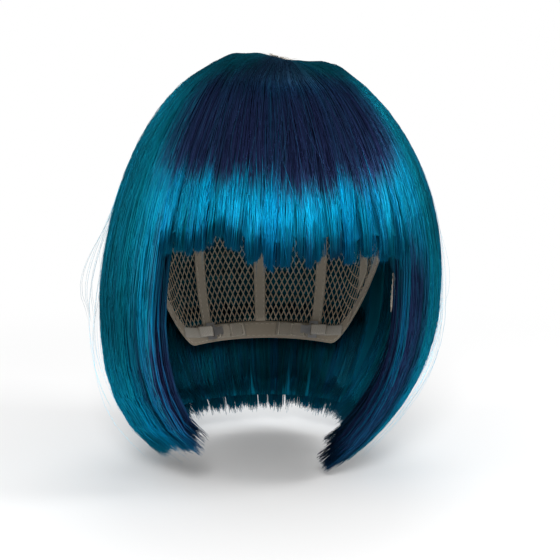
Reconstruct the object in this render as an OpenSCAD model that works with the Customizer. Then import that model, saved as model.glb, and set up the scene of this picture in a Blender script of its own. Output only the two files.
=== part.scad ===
// Costume bob wig: a wefted cap that fits a head, fixed hair sections over the crown,
// and hair panels that hang free below them.
// Frame: +Z up, the face opening looks along -Y, the wearer's left is +X.
// The origin lies on the crown axis, in the sizing plane round the brow.

/* [Head fit] */
// Breadth of the head that the cap fits
head_w = 152; // [144:1:160]
// From the crown axis to the forehead
head_front = 102; // [97:1:107]
// From the crown axis to the back of the head
head_back = 90; // [85:1:95]
// Height of the cap over the sizing plane
cap_h = 122; // [117:1:127]
// Front hairline over the sizing plane
hairline_h = 40; // [37:1:43]
// Cap edge over the ears, above the sizing plane
ear_h = 8; // [6:0.5:10]
// Nape edge below the sizing plane
nape_drop = 62; // [58:1:66]

/* [Cap fabric] */
// Thickness of the cap net
net_t = 0.8; // [0.6:0.1:1]
// Width of a cap tape
tape_w = 9; // [7:0.5:11]
// Width of the edge bands
band_w = 11; // [9.5:0.5:12.5]
// Thickness of the edge bands
band_t = 1.4; // [1.1:0.1:1.6]
// Radius of the skin-coloured crown patch
skin_r = 13; // [11:0.5:15]
// Thickness of the crown patch
skin_t = 1; // [0.7:0.1:1.2]
// Height of a weft track
track_h = 3; // [2.4:0.2:3.6]
// Thickness of a weft track
track_t = 1.5; // [1.2:0.1:1.8]
// Rows of weft across the sides and back
weft_rows = 8; // [6:1:8]
// Turns of the weft that winds round the crown
crown_turns = 4.5; // [3.5:0.5:5]
// Gap between layers sewn on each other
lay_gap = 0.3; // [0.25:0.05:0.35]

/* [Ear tabs] */
// Length of an ear tab
tab_len = 34; // [30:1:38]
// Thickness of an ear tab
tab_t = 1.8; // [1.5:0.1:2]
// Width of the bendable stay on a tab
stay_w = 4.5; // [3.5:0.5:6]
// Thickness of the stay
stay_t = 0.8; // [0.6:0.1:1]
// Gap at the seam where a tab folds
tab_gap = 0.8; // [0.6:0.1:0.9]

/* [Nape adjusters] */
// Width of the elastic strap
strap_w = 7; // [6:0.5:8]
// Thickness of the elastic strap
strap_t = 1; // [0.8:0.1:1.1]
// Width of the hook
hook_w = 5; // [4:0.5:5.5]
// Thickness of the hook sheet
hook_t = 0.8; // [0.7:0.05:0.9]
// Running clearance round the hook
hook_gap = 0.5; // [0.45:0.05:0.6]
// Distance from loop to loop
loop_pitch = 9; // [8.5:0.5:10]
// Radius of a loop's cord
loop_r = 0.6; // [0.5:0.05:0.7]
// How far the hook's tongue reaches past its loop
tongue = 3.5; // [3:0.25:4]

/* [Hair volume] */
// Hair over the crown
crown_volume = 10; // [8:0.5:12]
// Hair beside the head at its widest
side_volume = 28; // [26:1:33]
// Hair ahead of the forehead
front_volume = 13; // [11.5:0.5:16]
// Hair behind the head
back_volume = 22; // [20:1:28]
// Height of the widest ring, below the sizing plane
widest_drop = 18; // [14:1:24]
// Radius of the parting at the crown
part_r = 4; // [3:0.5:6]

/* [Hanging hair] */
// Thickness of the fringe at its root
fringe_t = 8; // [6:0.5:9]
// Fringe hem above the sizing plane
fringe_hem = 17; // [12:1:22]
// Half angle of the fringe
fringe_az = 48; // [44:1:49]
// How far the cut edges jump up and down
chop = 3; // [1:0.5:4]
// Thickness of the outer hair panels
curtain_t = 12; // [10:0.5:13]
// Thickness of the hair under them
under_t = 7; // [5:0.5:8]
// Hem of the side hair below the sizing plane
hem_drop = 116; // [105:1:125]
// Rise of the hem toward the face on the wearer's right
right_rise = 15; // [5:1:20]
// Drop of the hem toward the face on the wearer's left
left_drop = 4; // [0:1:8]
// Height of the root line of the hanging hair
root_h = 4; // [3:0.5:5]
// Inward draw of the hem on the wearer's right, a fraction of the width
tuck_right = 0.31; // [0.2:0.01:0.34]
// Inward draw of the hem on the wearer's left
tuck_left = 0.43; // [0.25:0.01:0.45]
// Inward draw of the hem at the back
tuck_back = 0.26; // [0.15:0.01:0.3]
// Extra draw of the hem beside the face on the wearer's right
cheek_right = 0.16; // [0:0.01:0.18]
// Extra draw of the hem beside the face on the wearer's left
cheek_left = 0.05; // [0:0.01:0.1]
// Turn of the right hem toward the face, in degrees
sweep_right = 8; // [0:0.5:10]
// Gap between hair panels
panel_gap = 0.6; // [0.5:0.05:0.8]

/* [Hidden] */
$fn = 32;
nape_tuck = 0.17;
crown_power = 2;
back_power = 2.2;
right_power = 3.1;
left_power = 1.95;
net_rows = 9;
tape_t = net_t;
tape_az = [-146, -118, -90, 90, 118, 146, 180];
ear_az = 98;
band_ends = [66, 124];
cap_half = concat([for (a = [0:10:40]) a], [for (a = [45:4:61]) a], [band_ends[0], 70, 78, 88],
                  [for (a = [ear_az:4:114]) a], [119], [for (a = [band_ends[1]:4:180]) a]);
cap_az = concat(cap_half, [for (i = [len(cap_half) - 2:-1:1]) 360 - cap_half[i]]);
tab_az = [68, 86];
curtain_az = [45, 120];
under_az = [50, 115];
nape_az = 128;
loop_az = 160;
loop_tape_t = 0.8;

net_edge = hairline_h + band_w + lay_gap;
hair_seat = band_t + track_t + 3 * lay_gap;
weft_seat = net_t + 2 * lay_gap;
tape_seat = -tape_t - 4 * lay_gap;
hair_top = cap_h + crown_volume;
hair_side = head_w / 2 + side_volume;
hair_front = head_front + front_volume;
hair_back = head_back + back_volume;
fringe_root = hairline_h - 2;
hem_span = hem_drop - widest_drop;
tab_top = ear_h - tab_gap;

weft_top = net_edge - track_h / 2 - lay_gap;
weft_bottom = band_w + track_h / 2 + 3 * lay_gap - nape_drop;
strap_z = band_w / 2 - nape_drop;

NET = [0.8, 0.75, 0.66];
SKIN = [0.86, 0.78, 0.66];
BAND = [0.78, 0.71, 0.6];
TRACK = [0.05, 0.2, 0.24];
STEEL = [0.6, 0.61, 0.63];
ELASTIC = [0.84, 0.8, 0.73];
CROWN = [0.06, 0.3, 0.36];
OUTER = [0.05, 0.4, 0.48];
UNDER = [0.04, 0.12, 0.22];

function lerp(a, b, t) = a + (b - a) * t;
function steps(a, b, n) = [for (i = [0:n]) lerp(a, b, i / n)];
function ease(lo, hi, x) = let (t = min(1, max(0, (x - lo) / (hi - lo)))) t * t * (3 - 2 * t);
function depth(az, ahead, behind) = cos(az) > 0 ? ahead : behind;
function behind_face(az) = abs(az > 180 ? az - 360 : az);

// A point of the head form pushed out by off; the nape draws in below the sizing plane
function head_at(az, z, off) =
    let (r = z > 0 ? sqrt(1 - pow(z / (cap_h + off), 2)) : 1 - nape_tuck * pow(z / nape_drop, 2))
    [r * (head_w / 2 + off) * sin(az),
     -r * depth(az, head_front + off, head_back + off) * cos(az), z];

// The same form by angle from the crown axis
function head_polar(az, polar, off) = head_at(az, (cap_h + off) * cos(polar), off);

// Lower edge of the cap: hairline, over the ear, then down to the nape
function rim(az) =
    let (a = behind_face(az))
    lerp(lerp(hairline_h, ear_h, ease(45, 70, a)), -nape_drop, ease(ear_az, 135, a));

// Share of the width that the hem is drawn in by, and how late the draw sets in
function tuck(az) =
    let (a = behind_face(az), right = sin(az) < 0)
    lerp(right ? tuck_right : tuck_left, tuck_back, ease(95, 150, a))
    + (right ? cheek_right : cheek_left) * (1 - ease(45, 85, a));
function draw_power(az) =
    lerp(sin(az) < 0 ? right_power : left_power, back_power, ease(95, 150, behind_face(az)));

// Azimuth of hair that leaves its root at az, once it has fallen by a share of the hem span
function swept(az, down) =
    sin(az) < 0 && down > 0 ? az + sweep_right * (1 - ease(45, 95, behind_face(az))) * down * down : az;

// A point at depth d under the outer surface of the hair, straight in toward the crown axis
function hair_at(az, z, d) =
    let (up = (z + widest_drop) / (hair_top + widest_drop),
         down = -(z + widest_drop) / hem_span,
         r = up > 0 ? sqrt(1 - pow(up, crown_power)) : 1 - tuck(az) * pow(down, draw_power(az)),
         turn = swept(az, down),
         p = r * [hair_side * sin(turn), -depth(turn, hair_front, hair_back) * cos(turn)],
         q = p * (1 - d / norm(p)))
    [q.x, q.y, z];

// Azimuth on the head form that lies straight inside azimuth az of the hair
function inside(az) =
    atan2(sin(az) * hair_side / (head_w / 2 + hair_seat),
          cos(az) * depth(az, hair_front / (head_front + hair_seat), hair_back / (head_back + hair_seat)));

// Cut hair ends: neighbouring tufts stop at different heights
function jag(az) = chop * (sin(29 * az) + 0.6 * sin(67 * az + 40)) / 1.6;

// Closes two grids of points into a solid; columns run round the head, rows run down
module shell(outer, inner, ring = false) {
    n = len(outer);
    m = len(outer[0]);
    last = ring ? n - 1 : n - 2;
    function at(i, j, side) = side * n * m + (i % n) * m + j;
    function quad(a, b, c, d) = [[a, b, c], [a, c, d]];
    faces = [for (i = [0:last]) each concat(
        [for (j = [0:m - 2], q = quad(at(i, j, 0), at(i + 1, j, 0), at(i + 1, j + 1, 0), at(i, j + 1, 0))) q],
        [for (j = [0:m - 2], q = quad(at(i, j, 1), at(i, j + 1, 1), at(i + 1, j + 1, 1), at(i + 1, j, 1))) q],
        quad(at(i + 1, 0, 0), at(i, 0, 0), at(i, 0, 1), at(i + 1, 0, 1)),
        quad(at(i, m - 1, 0), at(i + 1, m - 1, 0), at(i + 1, m - 1, 1), at(i, m - 1, 1)))];
    ends = ring ? [] : [for (j = [0:m - 2]) each concat(
        quad(at(0, j, 0), at(0, j + 1, 0), at(0, j + 1, 1), at(0, j, 1)),
        quad(at(n - 1, j + 1, 0), at(n - 1, j, 0), at(n - 1, j, 1), at(n - 1, j + 1, 1)))];
    polyhedron(concat([for (c = outer) each c], [for (c = inner) each c]), concat(faces, ends));
}

// Cloth lying on the head form; each column is [azimuth, top, bottom]
module cloth(columns, rows, off, t) {
    function face(o) = [for (c = columns) [for (z = steps(c[1], c[2], rows)) head_at(c[0], z, o)]];
    shell(face(off + t), face(off));
}

// Hanging hair between two depths; each column is [azimuth, top, hem]
module hanging(columns, rows, outer_d, root_d, hem_d) {
    shell([for (c = columns) [for (z = steps(c[1], c[2], rows)) hair_at(c[0], z, outer_d)]],
          [for (c = columns) [for (j = [0:rows])
              hair_at(c[0], lerp(c[1], c[2], j / rows), lerp(root_d, hem_d, j / rows))]]);
}

// Fixed hair from the parting down to the height low
module section(az0, az1, low, n) {
    rows = 9;
    rise = hair_top + widest_drop;
    top = pow(1 - pow(part_r / hair_side, 2), 1 / crown_power);
    outer = steps(acos(top), acos((low + widest_drop) / rise), rows);
    inner = steps(asin(part_r / (head_w / 2 + hair_seat)), acos(low / (cap_h + hair_seat)), rows);
    shell([for (az = steps(az0, az1, n)) [for (p = outer) hair_at(az, rise * cos(p) - widest_drop, 0)]],
          [for (az = steps(az0, az1, n)) [for (p = inner) head_polar(inside(az), p, hair_seat)]]);
}

// Stretch net over the whole head form, from the crown patch down to the edge bands
module crown_net() {
    top = cap_h * cos(asin((skin_r - 3) / head_front));
    function face(off) = [for (az = cap_az) [for (j = [0:net_rows])
        head_at(az, lerp(rim(az) + band_w + lay_gap, top, cos(90 * j / net_rows)), off)]];
    color(NET) shell(face(net_t), face(0), ring = true);
}

module skin_top() {
    base = cap_h + net_t + lay_gap;
    function sag(r) = cap_h * (1 - sqrt(1 - pow(r / head_front, 2)));
    color(SKIN) rotate_extrude($fn = 48)
        polygon(concat([for (r = steps(0, skin_r, 8)) [r, base - sag(r)]],
                       [for (r = steps(skin_r, 0, 8)) [r, base + skin_t - sag(r)]]));
}

// Edge band; its corners share azimuths with the net, so that their edges run side by side
module edge_band(az0, az1) {
    corners = [for (turn = [-360, 0], az = cap_az) if (az + turn > az0 && az + turn < az1) az + turn];
    color(BAND) cloth([for (az = concat([az0], corners, [az1])) [az, rim(az) + band_w, rim(az)]], 1, 0, band_t);
}

module front_band() { edge_band(-band_ends[0], band_ends[0]); }
module left_ear_band() { edge_band(band_ends[0] + lay_gap, band_ends[1]); }
module right_ear_band() { edge_band(-band_ends[1], -band_ends[0] - lay_gap); }
module nape_band() { edge_band(band_ends[1] + lay_gap, 360 - band_ends[1] - lay_gap); }

// Tape inside the net, from the lowest turn of the crown weft down to the edge band
module tape(i) {
    az = tape_az[i];
    half = asin(tape_w / head_w / 1.1);
    color(BAND) cloth([for (a = [az - half, az, az + half])
        [a, net_edge - lay_gap, rim(a) + band_w + lay_gap]], 9, tape_seat, tape_t);
}

// First azimuth at which a weft row clears the edge band
function weft_start(z) =
    let (limit = z - track_h / 2 - band_w - lay_gap) [for (a = [50:140]) if (rim(a) < limit) a][0];

module back_weft(i) {
    z = lerp(weft_top, weft_bottom, i / (weft_rows - 1));
    start = weft_start(z);
    color(TRACK) cloth([for (az = steps(start, 360 - start, 22)) [az, z + track_h / 2, z - track_h / 2]],
                       1, weft_seat, track_t);
}

// One weft wound round the crown from the patch to the height of the front band
module crown_weft() {
    n = round(34 * crown_turns);
    half = asin(track_h / 2 / cap_h);
    first = asin((skin_r + track_h) / (head_w / 2)) + half;
    last = acos(net_edge / cap_h) - 3 * half;
    function edge(i, side, off) =
        head_polar(360 * crown_turns * i / n, lerp(first, last, i / n) + side * half, off);
    out = weft_seat + track_t;
    color(TRACK) shell([for (i = [0:n]) [edge(i, -1, out), edge(i, 1, out)]],
                       [for (i = [0:n]) [edge(i, -1, weft_seat), edge(i, 1, weft_seat)]]);
}

module fringe_weft(share) {
    color(TRACK) cloth([for (az = steps(-fringe_az + 2, fringe_az - 2, 20))
        let (z = rim(az) + share * band_w) [az, z + track_h / 2, z - track_h / 2]],
        1, band_t + lay_gap, track_t);
}

module upper_fringe_weft() { fringe_weft(0.75); }
module lower_fringe_weft() { fringe_weft(0.25); }

// Rounded tongue in front of the ear
module ear_tab(side) {
    mid = (tab_az[0] + tab_az[1]) / 2;
    half = (tab_az[1] - tab_az[0]) / 2;
    color(BAND) cloth([for (t = steps(-1, 1, 12))
        [side * mid + t * half, tab_top, tab_top - tab_len * (0.5 + 0.5 * sqrt(1 - 0.96 * t * t))]],
        4, 0, tab_t);
}

module ear_stay(side) {
    mid = (tab_az[0] + tab_az[1]) / 2;
    half = asin(stay_w / head_front / 2);
    color(STEEL) cloth([for (t = steps(-1, 1, 4))
        [side * mid + t * half, tab_top - 3, tab_top - tab_len + 4 + 1.5 * t * t]],
        4, tab_t + lay_gap, stay_t);
}

module right_ear_tab() { ear_tab(-1); }
module left_ear_tab() { ear_tab(1); }
module right_ear_stay() { ear_stay(-1); }
module left_ear_stay() { ear_stay(1); }

// Adjuster frame: x runs along the nape toward its middle, y points at the head, and the
// frame leans as the nape band does
loop_at = head_at(loop_az, strap_z, 0);
loop_along = head_at(loop_az + 0.5, strap_z, 0) - head_at(loop_az - 0.5, strap_z, 0);
loop_turn = atan2(loop_along.y, loop_along.x);
loop_rise = head_at(loop_az, strap_z + 0.5, 0) - head_at(loop_az, strap_z - 0.5, 0);
loop_lean = atan(norm([loop_rise.x, loop_rise.y]));
function in_adjuster(p) =
    let (d = p - loop_at, c = cos(loop_turn), s = sin(loop_turn), k = cos(loop_lean), l = sin(loop_lean))
    [d.x * c + d.y * s, (d.y * c - d.x * s) * k + d.z * l];

// The flat loop tape rests on the bowed band at its ends
loop_half = loop_pitch + 3;
loop_bow = max([for (az = [loop_az - 20:loop_az + 20], z = [strap_z - band_w / 2, strap_z + band_w / 2])
    let (q = in_adjuster(head_at(az, z, 0))) if (abs(q.x) < loop_half + 1) q.y]);
loop_face = loop_bow + lay_gap + loop_tape_t;
tongue_y = loop_face + hook_gap;
loop_y = tongue_y + hook_t + hook_gap + loop_r;
hook_y = loop_y + loop_r + hook_gap;
bend_x = -loop_pitch + loop_r + hook_gap;
slot_x = -loop_pitch - tongue - 1.4;
slot_w = strap_t + 2 * hook_gap;
eye_x = slot_x - slot_w - 2.8;
eye_half = strap_w / 2 + 2.2;

module at_adjuster(side) {
    mirror([side < 0 ? 1 : 0, 0, 0])
        translate(loop_at) rotate([0, 0, loop_turn]) rotate([loop_lean, 0, 0]) children();
}

module loop_tape(side) {
    reach = hook_w / 2 + hook_gap + loop_r;
    color(ELASTIC) at_adjuster(side) {
        translate([-loop_half, loop_face - loop_tape_t, -band_w / 2 + 0.5])
            cube([2 * loop_half, loop_tape_t, band_w - 1]);
        for (i = [-1:1]) {
            translate([i * loop_pitch, loop_y, -reach - loop_r])
                cylinder(r = loop_r, h = 2 * (reach + loop_r));
            for (end = [-reach, reach])
                translate([i * loop_pitch, loop_face - 0.2, end]) rotate([-90, 0, 0])
                    cylinder(r = loop_r, h = loop_y - loop_face + 0.2);
        }
    }
}

// Sheet hook: a slotted eye for the strap, bent back under the outer loop
module hook(side) {
    color(STEEL) at_adjuster(side) {
        translate([0, 0, -hook_w / 2]) linear_extrude(hook_w)
            polygon([[slot_x, hook_y], [bend_x, hook_y], [bend_x, tongue_y + hook_t],
                     [-loop_pitch - tongue, tongue_y + hook_t], [-loop_pitch - tongue, tongue_y],
                     [bend_x + hook_t, tongue_y], [bend_x + hook_t, hook_y + hook_t],
                     [slot_x, hook_y + hook_t]]);
        translate([0, hook_y + hook_t, 0]) rotate([90, 0, 0]) linear_extrude(hook_t) difference() {
            translate([eye_x, -eye_half]) square([slot_x + 1.2 - eye_x, 2 * eye_half]);
            translate([slot_x - slot_w, -strap_w / 2 - hook_gap]) square([slot_w, strap_w + 2 * hook_gap]);
        }
    }
}

// Elastic strap, seen from above: along the band, under the eye, through it and back over
function strap_path() =
    let (half = strap_t / 2, low = hook_y - hook_gap - half, high = hook_y + hook_t + hook_gap + half,
         mid = slot_x - slot_w / 2)
    concat([for (az = [127:3:139]) in_adjuster(head_at(az, strap_z, -2 * lay_gap - half))],
           [[eye_x - 1, low + 0.1], [mid - 0.8, low], [mid, low + 0.8], [mid, high - 0.8],
            [mid - 0.8, high], [eye_x, high + 0.2], [eye_x - 7, high + 1.2]]);
function beside(path, i, d) =
    let (n = len(path), a = path[max(0, i - 1)], b = path[min(n - 1, i + 1)], t = (b - a) / norm(b - a))
    path[i] + d * [-t.y, t.x];

module strap(side) {
    path = strap_path();
    n = len(path);
    color(ELASTIC) at_adjuster(side) translate([0, 0, -strap_w / 2]) linear_extrude(strap_w)
        polygon(concat([for (i = [0:n - 1]) beside(path, i, strap_t / 2)],
                       [for (i = [n - 1:-1:0]) beside(path, i, -strap_t / 2)]));
}

module right_loop_tape() { loop_tape(-1); }
module left_loop_tape() { loop_tape(1); }
module right_hook() { hook(-1); }
module left_hook() { hook(1); }
module right_strap() { strap(-1); }
module left_strap() { strap(1); }

// Azimuth gap between fixed sections that keeps panel_gap at the outside
seam_az = asin(panel_gap / hair_front);

module front_hair() { color(CROWN) section(-fringe_az, fringe_az, fringe_root + panel_gap, 16); }
module left_hair() { color(CROWN) section(fringe_az + seam_az, curtain_az[1], root_h + panel_gap, 12); }
module right_hair() { color(CROWN) section(-curtain_az[1], -fringe_az - seam_az, root_h + panel_gap, 12); }
module back_hair() {
    color(CROWN) section(curtain_az[1] + seam_az, 360 - curtain_az[1] - seam_az, root_h + panel_gap, 18);
}

module fringe() {
    color(OUTER) hanging([for (az = steps(-fringe_az, fringe_az, 36))
        [az, fringe_root, fringe_hem + jag(az)]], 4, 0, fringe_t, fringe_t / 2);
}

function right_hem(a) = -hem_drop + right_rise * (1 - ease(50, 92, a));
function left_hem(a) = -hem_drop + 4 - (left_drop + 4) * (1 - ease(50, 92, a));

module left_curtain() {
    color(OUTER) hanging([for (az = steps(curtain_az[0], curtain_az[1], 14))
        [az, root_h, left_hem(az) + jag(az)]], 10, 0, curtain_t, curtain_t);
}

module right_curtain() {
    color(OUTER) hanging([for (az = steps(-curtain_az[1], -curtain_az[0], 14))
        [az, root_h, right_hem(-az) + jag(az)]], 10, 0, curtain_t, curtain_t);
}

module back_curtain() {
    color(OUTER) hanging([for (az = steps(curtain_az[1] + seam_az, 360 - curtain_az[1] - seam_az, 20))
        [az, root_h, 4 - hem_drop + jag(az)]], 10, 0, curtain_t, curtain_t);
}

// Shorter hair inside a panel, hung from the lowest wefts
module under_hair(columns) {
    d = curtain_t + panel_gap;
    color(UNDER) hanging(columns, 8, d, d + under_t, d + under_t / 2);
}

module left_under_hair() {
    under_hair([for (az = steps(under_az[0], under_az[1], 12)) [az, root_h, left_hem(az) - 3 + jag(az)]]);
}

module right_under_hair() {
    under_hair([for (az = steps(-under_az[1], -under_az[0], 12)) [az, root_h, right_hem(-az) + 8 + jag(az)]]);
}

module nape_hair() {
    under_hair([for (az = steps(nape_az, 360 - nape_az, 16)) [az, weft_bottom + 4, 10 - hem_drop + jag(az)]]);
}

crown_net();
skin_top();
front_band();
right_ear_band();
left_ear_band();
nape_band();
crown_weft();
upper_fringe_weft();
lower_fringe_weft();
right_ear_tab();
left_ear_tab();
right_ear_stay();
left_ear_stay();
right_loop_tape();
left_loop_tape();
right_hook();
left_hook();
right_strap();
left_strap();
front_hair();
right_hair();
left_hair();
back_hair();
fringe();
right_curtain();
left_curtain();
back_curtain();
right_under_hair();
left_under_hair();
nape_hair();
for (i = [1:len(tape_az)]) tape(i - 1);
for (i = [1:weft_rows]) back_weft(i - 1);
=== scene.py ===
"""Dresses the bob wig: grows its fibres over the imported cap, finishes the cap's cloth and sets the studio.

All shapes are worked out in millimetres, in the frame of the part: +Z up, the face opening looks along -Y and
the wearer's left is +X. Azimuth is counted in degrees from the face opening toward the wearer's left.
"""
from __future__ import annotations

import logging
import math
from collections.abc import Callable
from dataclasses import dataclass, field
from enum import Enum
from typing import Any, Sequence

import bpy
import numpy as np
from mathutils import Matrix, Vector

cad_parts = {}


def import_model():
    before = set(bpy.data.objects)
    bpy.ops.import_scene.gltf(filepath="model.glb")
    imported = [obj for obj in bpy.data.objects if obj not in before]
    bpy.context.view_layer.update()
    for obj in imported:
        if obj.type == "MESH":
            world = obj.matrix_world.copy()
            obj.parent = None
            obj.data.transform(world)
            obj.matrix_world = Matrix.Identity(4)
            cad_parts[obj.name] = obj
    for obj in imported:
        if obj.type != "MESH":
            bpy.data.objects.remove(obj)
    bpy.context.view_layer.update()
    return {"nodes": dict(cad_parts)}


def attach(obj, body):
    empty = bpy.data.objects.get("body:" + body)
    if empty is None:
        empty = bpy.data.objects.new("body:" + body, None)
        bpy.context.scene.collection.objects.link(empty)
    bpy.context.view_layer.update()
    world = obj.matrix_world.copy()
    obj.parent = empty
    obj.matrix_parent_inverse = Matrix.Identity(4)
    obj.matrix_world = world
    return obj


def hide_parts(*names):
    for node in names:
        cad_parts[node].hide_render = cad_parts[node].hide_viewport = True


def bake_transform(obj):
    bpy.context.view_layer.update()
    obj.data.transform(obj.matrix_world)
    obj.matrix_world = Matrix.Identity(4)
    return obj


LOG = logging.getLogger("wig")
MM = 0.001
IMAGE_SIDE = 560
SENSOR = 36.0
MOST_TRIANGLES = 190_000
PROBE = 0.3
CROWN_GAP = 0.02
WHITE = (1.0, 1.0, 1.0, 1.0)
CORNERS = np.array([[0, 0], [0, 1], [1, 1], [1, 0]])

Array = np.ndarray
Colour = tuple[float, float, float]
Span = tuple[float, float]

THREAD_DYE: Colour = (0.74, 0.68, 0.58)


def ease(lo: float, hi: float, x: Array | float) -> Array:
    """Smooth step from 0 at lo to 1 at hi.

    Args:
        lo: Where the step begins.
        hi: Where the step ends.
        x: Values to place on the step.

    Returns:
        The eased share of each value.
    """
    t = np.clip((np.asarray(x, float) - lo) / (hi - lo), 0.0, 1.0)
    return t * t * (3.0 - 2.0 * t)


def lerp(a: Any, b: Any, t: Any) -> Any:
    """Value between a and b at share t."""
    return a + (b - a) * t


def unit(v: Array) -> Array:
    """Vectors along the last axis, made one long."""
    return v / np.maximum(np.linalg.norm(v, axis=-1, keepdims=True), 1e-9)


def from_face(az: Array) -> Array:
    """Azimuth distance from the middle of the face opening, 0 to 180."""
    return np.abs((np.asarray(az, float) + 180) % 360 - 180)


def hump(x: Array, middle: float, width: float) -> Array:
    """Bell curve that is 1 at its middle."""
    return np.exp(-(((x - middle) / width) ** 2))


def bunched(count: int) -> Array:
    """Shares from 0 to 1 that stand closer together toward both ends."""
    return 0.5 - 0.5 * np.cos(np.linspace(0, math.pi, count))


def run_along(line: Array) -> Array:
    """Length from the start of a polyline to each of its points."""
    return np.concatenate([[0], np.cumsum(np.linalg.norm(np.diff(line, axis=0), axis=1))])


def carried(places: Array, length: Array, rows: Array) -> Array:
    """Rows that are known at lengths along a line, read at other places on it.

    Args:
        places: Lengths from the start, any shape.
        length: Lengths at which the rows are known, (k,).
        rows: Points or directions, (k, d).

    Returns:
        Rows with the shape of places and a last axis of d.
    """
    return np.stack([np.interp(places, length, column) for column in rows.T], -1)


def normals(point: Callable[[Array, Array], Array], az: Array, z: Array, top: float) -> Array:
    """Outward normals of a surface, from the cross product of small steps round and up it.

    Args:
        point: The surface, as points for azimuths and heights.
        az: Azimuths.
        z: Heights.
        top: Height of its crown, which the steps stay under.

    Returns:
        Unit normals.
    """
    upper, lower = top - CROWN_GAP, top - 6 * CROWN_GAP
    around = point(az + PROBE, z) - point(az - PROBE, z)
    upward = point(az, np.minimum(z + PROBE, upper)) - point(az, np.minimum(z - PROBE, lower))
    return unit(np.cross(around, upward))


class Side(Enum):
    """The wearer's sides, valued by the sign of X."""

    RIGHT = -1
    LEFT = 1

    @property
    def word(self) -> str:
        """The side as it stands in node names."""
        return self.name.lower()

    def span(self, near: float, far: float) -> Span:
        """Azimuths on this side, from the lower to the higher, by their distance from the face opening."""
        return (near, far) if self is Side.LEFT else (-far, -near)


class Zone(Enum):
    """Parts of the hair, each with the body its ends would move with, the heights where it would bend, its
    azimuths and its solids.
    """

    FRONT = ("front", "fringe", (41.0, 24.0), (-48.0, 48.0), ("front_hair", "fringe"))
    RIGHT = ("right", "right_side", (10.0, -24.0), (-120.0, -47.0),
             ("right_hair", "right_curtain", "right_under_hair"))
    LEFT = ("left", "left_side", (10.0, -24.0), (47.0, 120.0),
            ("left_hair", "left_curtain", "left_under_hair"))
    BACK = ("back", "back", (10.0, -30.0), (119.0, 241.0), ("back_hair", "back_curtain", "nape_hair"))

    def __init__(self, word: str, body: str, bend: Span, az: Span, nodes: tuple[str, ...]) -> None:
        """Keeps what the zone is known by.

        Args:
            word: Word that its pieces are named with.
            body: Body that its ends would move with; not used.
            bend: Heights at which the bend would begin and end; not used.
            az: Its first and last azimuth.
            nodes: Solids that it stands for.
        """
        self.word = word
        self.body = body
        self.bend = bend
        self.az = az
        self.nodes = nodes


@dataclass(frozen=True)
class HeadForm:
    """The oval form that the cap lies on, as in the part's source."""

    half_width: float = 76.0
    front: float = 102.0
    back: float = 90.0
    height: float = 122.0
    hairline: float = 40.0
    ear: float = 8.0
    nape: float = 62.0
    nape_tuck: float = 0.17
    band: float = 11.0
    gap: float = 0.3
    temple: Span = (45.0, 70.0)
    behind_ear: Span = (98.0, 135.0)

    def at(self, az: Array, z: Array, off: Array | float) -> Array:
        """Points of the form pushed out by off: an ellipsoid above the sizing plane, drawn in below it.

        Args:
            az: Azimuths in degrees.
            z: Heights.
            off: Distances outside the form.

        Returns:
            Points, one for each entry of the broadcast inputs.
        """
        az, z, off = np.broadcast_arrays(np.asarray(az, float), np.asarray(z, float), np.asarray(off, float))
        s, c = np.sin(np.radians(az)), np.cos(np.radians(az))
        above = np.sqrt(np.clip(1 - (z / (self.height + off)) ** 2, 0, 1))
        r = np.where(z > 0, above, 1 - self.nape_tuck * (z / self.nape) ** 2)
        deep = np.where(c > 0, self.front, self.back) + off
        return np.stack([r * (self.half_width + off) * s, -r * deep * c, z], -1)

    def out(self, az: Array, z: Array) -> Array:
        """Outward normals of the form."""
        az, z = np.broadcast_arrays(np.asarray(az, float), np.asarray(z, float))
        return normals(lambda turn, height: self.at(turn, height, 0.0), az, z, self.height)

    def rim(self, az: Array) -> Array:
        """Lower edge of the cap: hairline, over the ear, then down to the nape."""
        a = from_face(az)
        over = lerp(self.hairline, self.ear, ease(*self.temple, a))
        return lerp(over, -self.nape, ease(*self.behind_ear, a))

    @property
    def net_edge(self) -> float:
        """Height of the upper edge of the front band."""
        return self.hairline + self.band + self.gap


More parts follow.
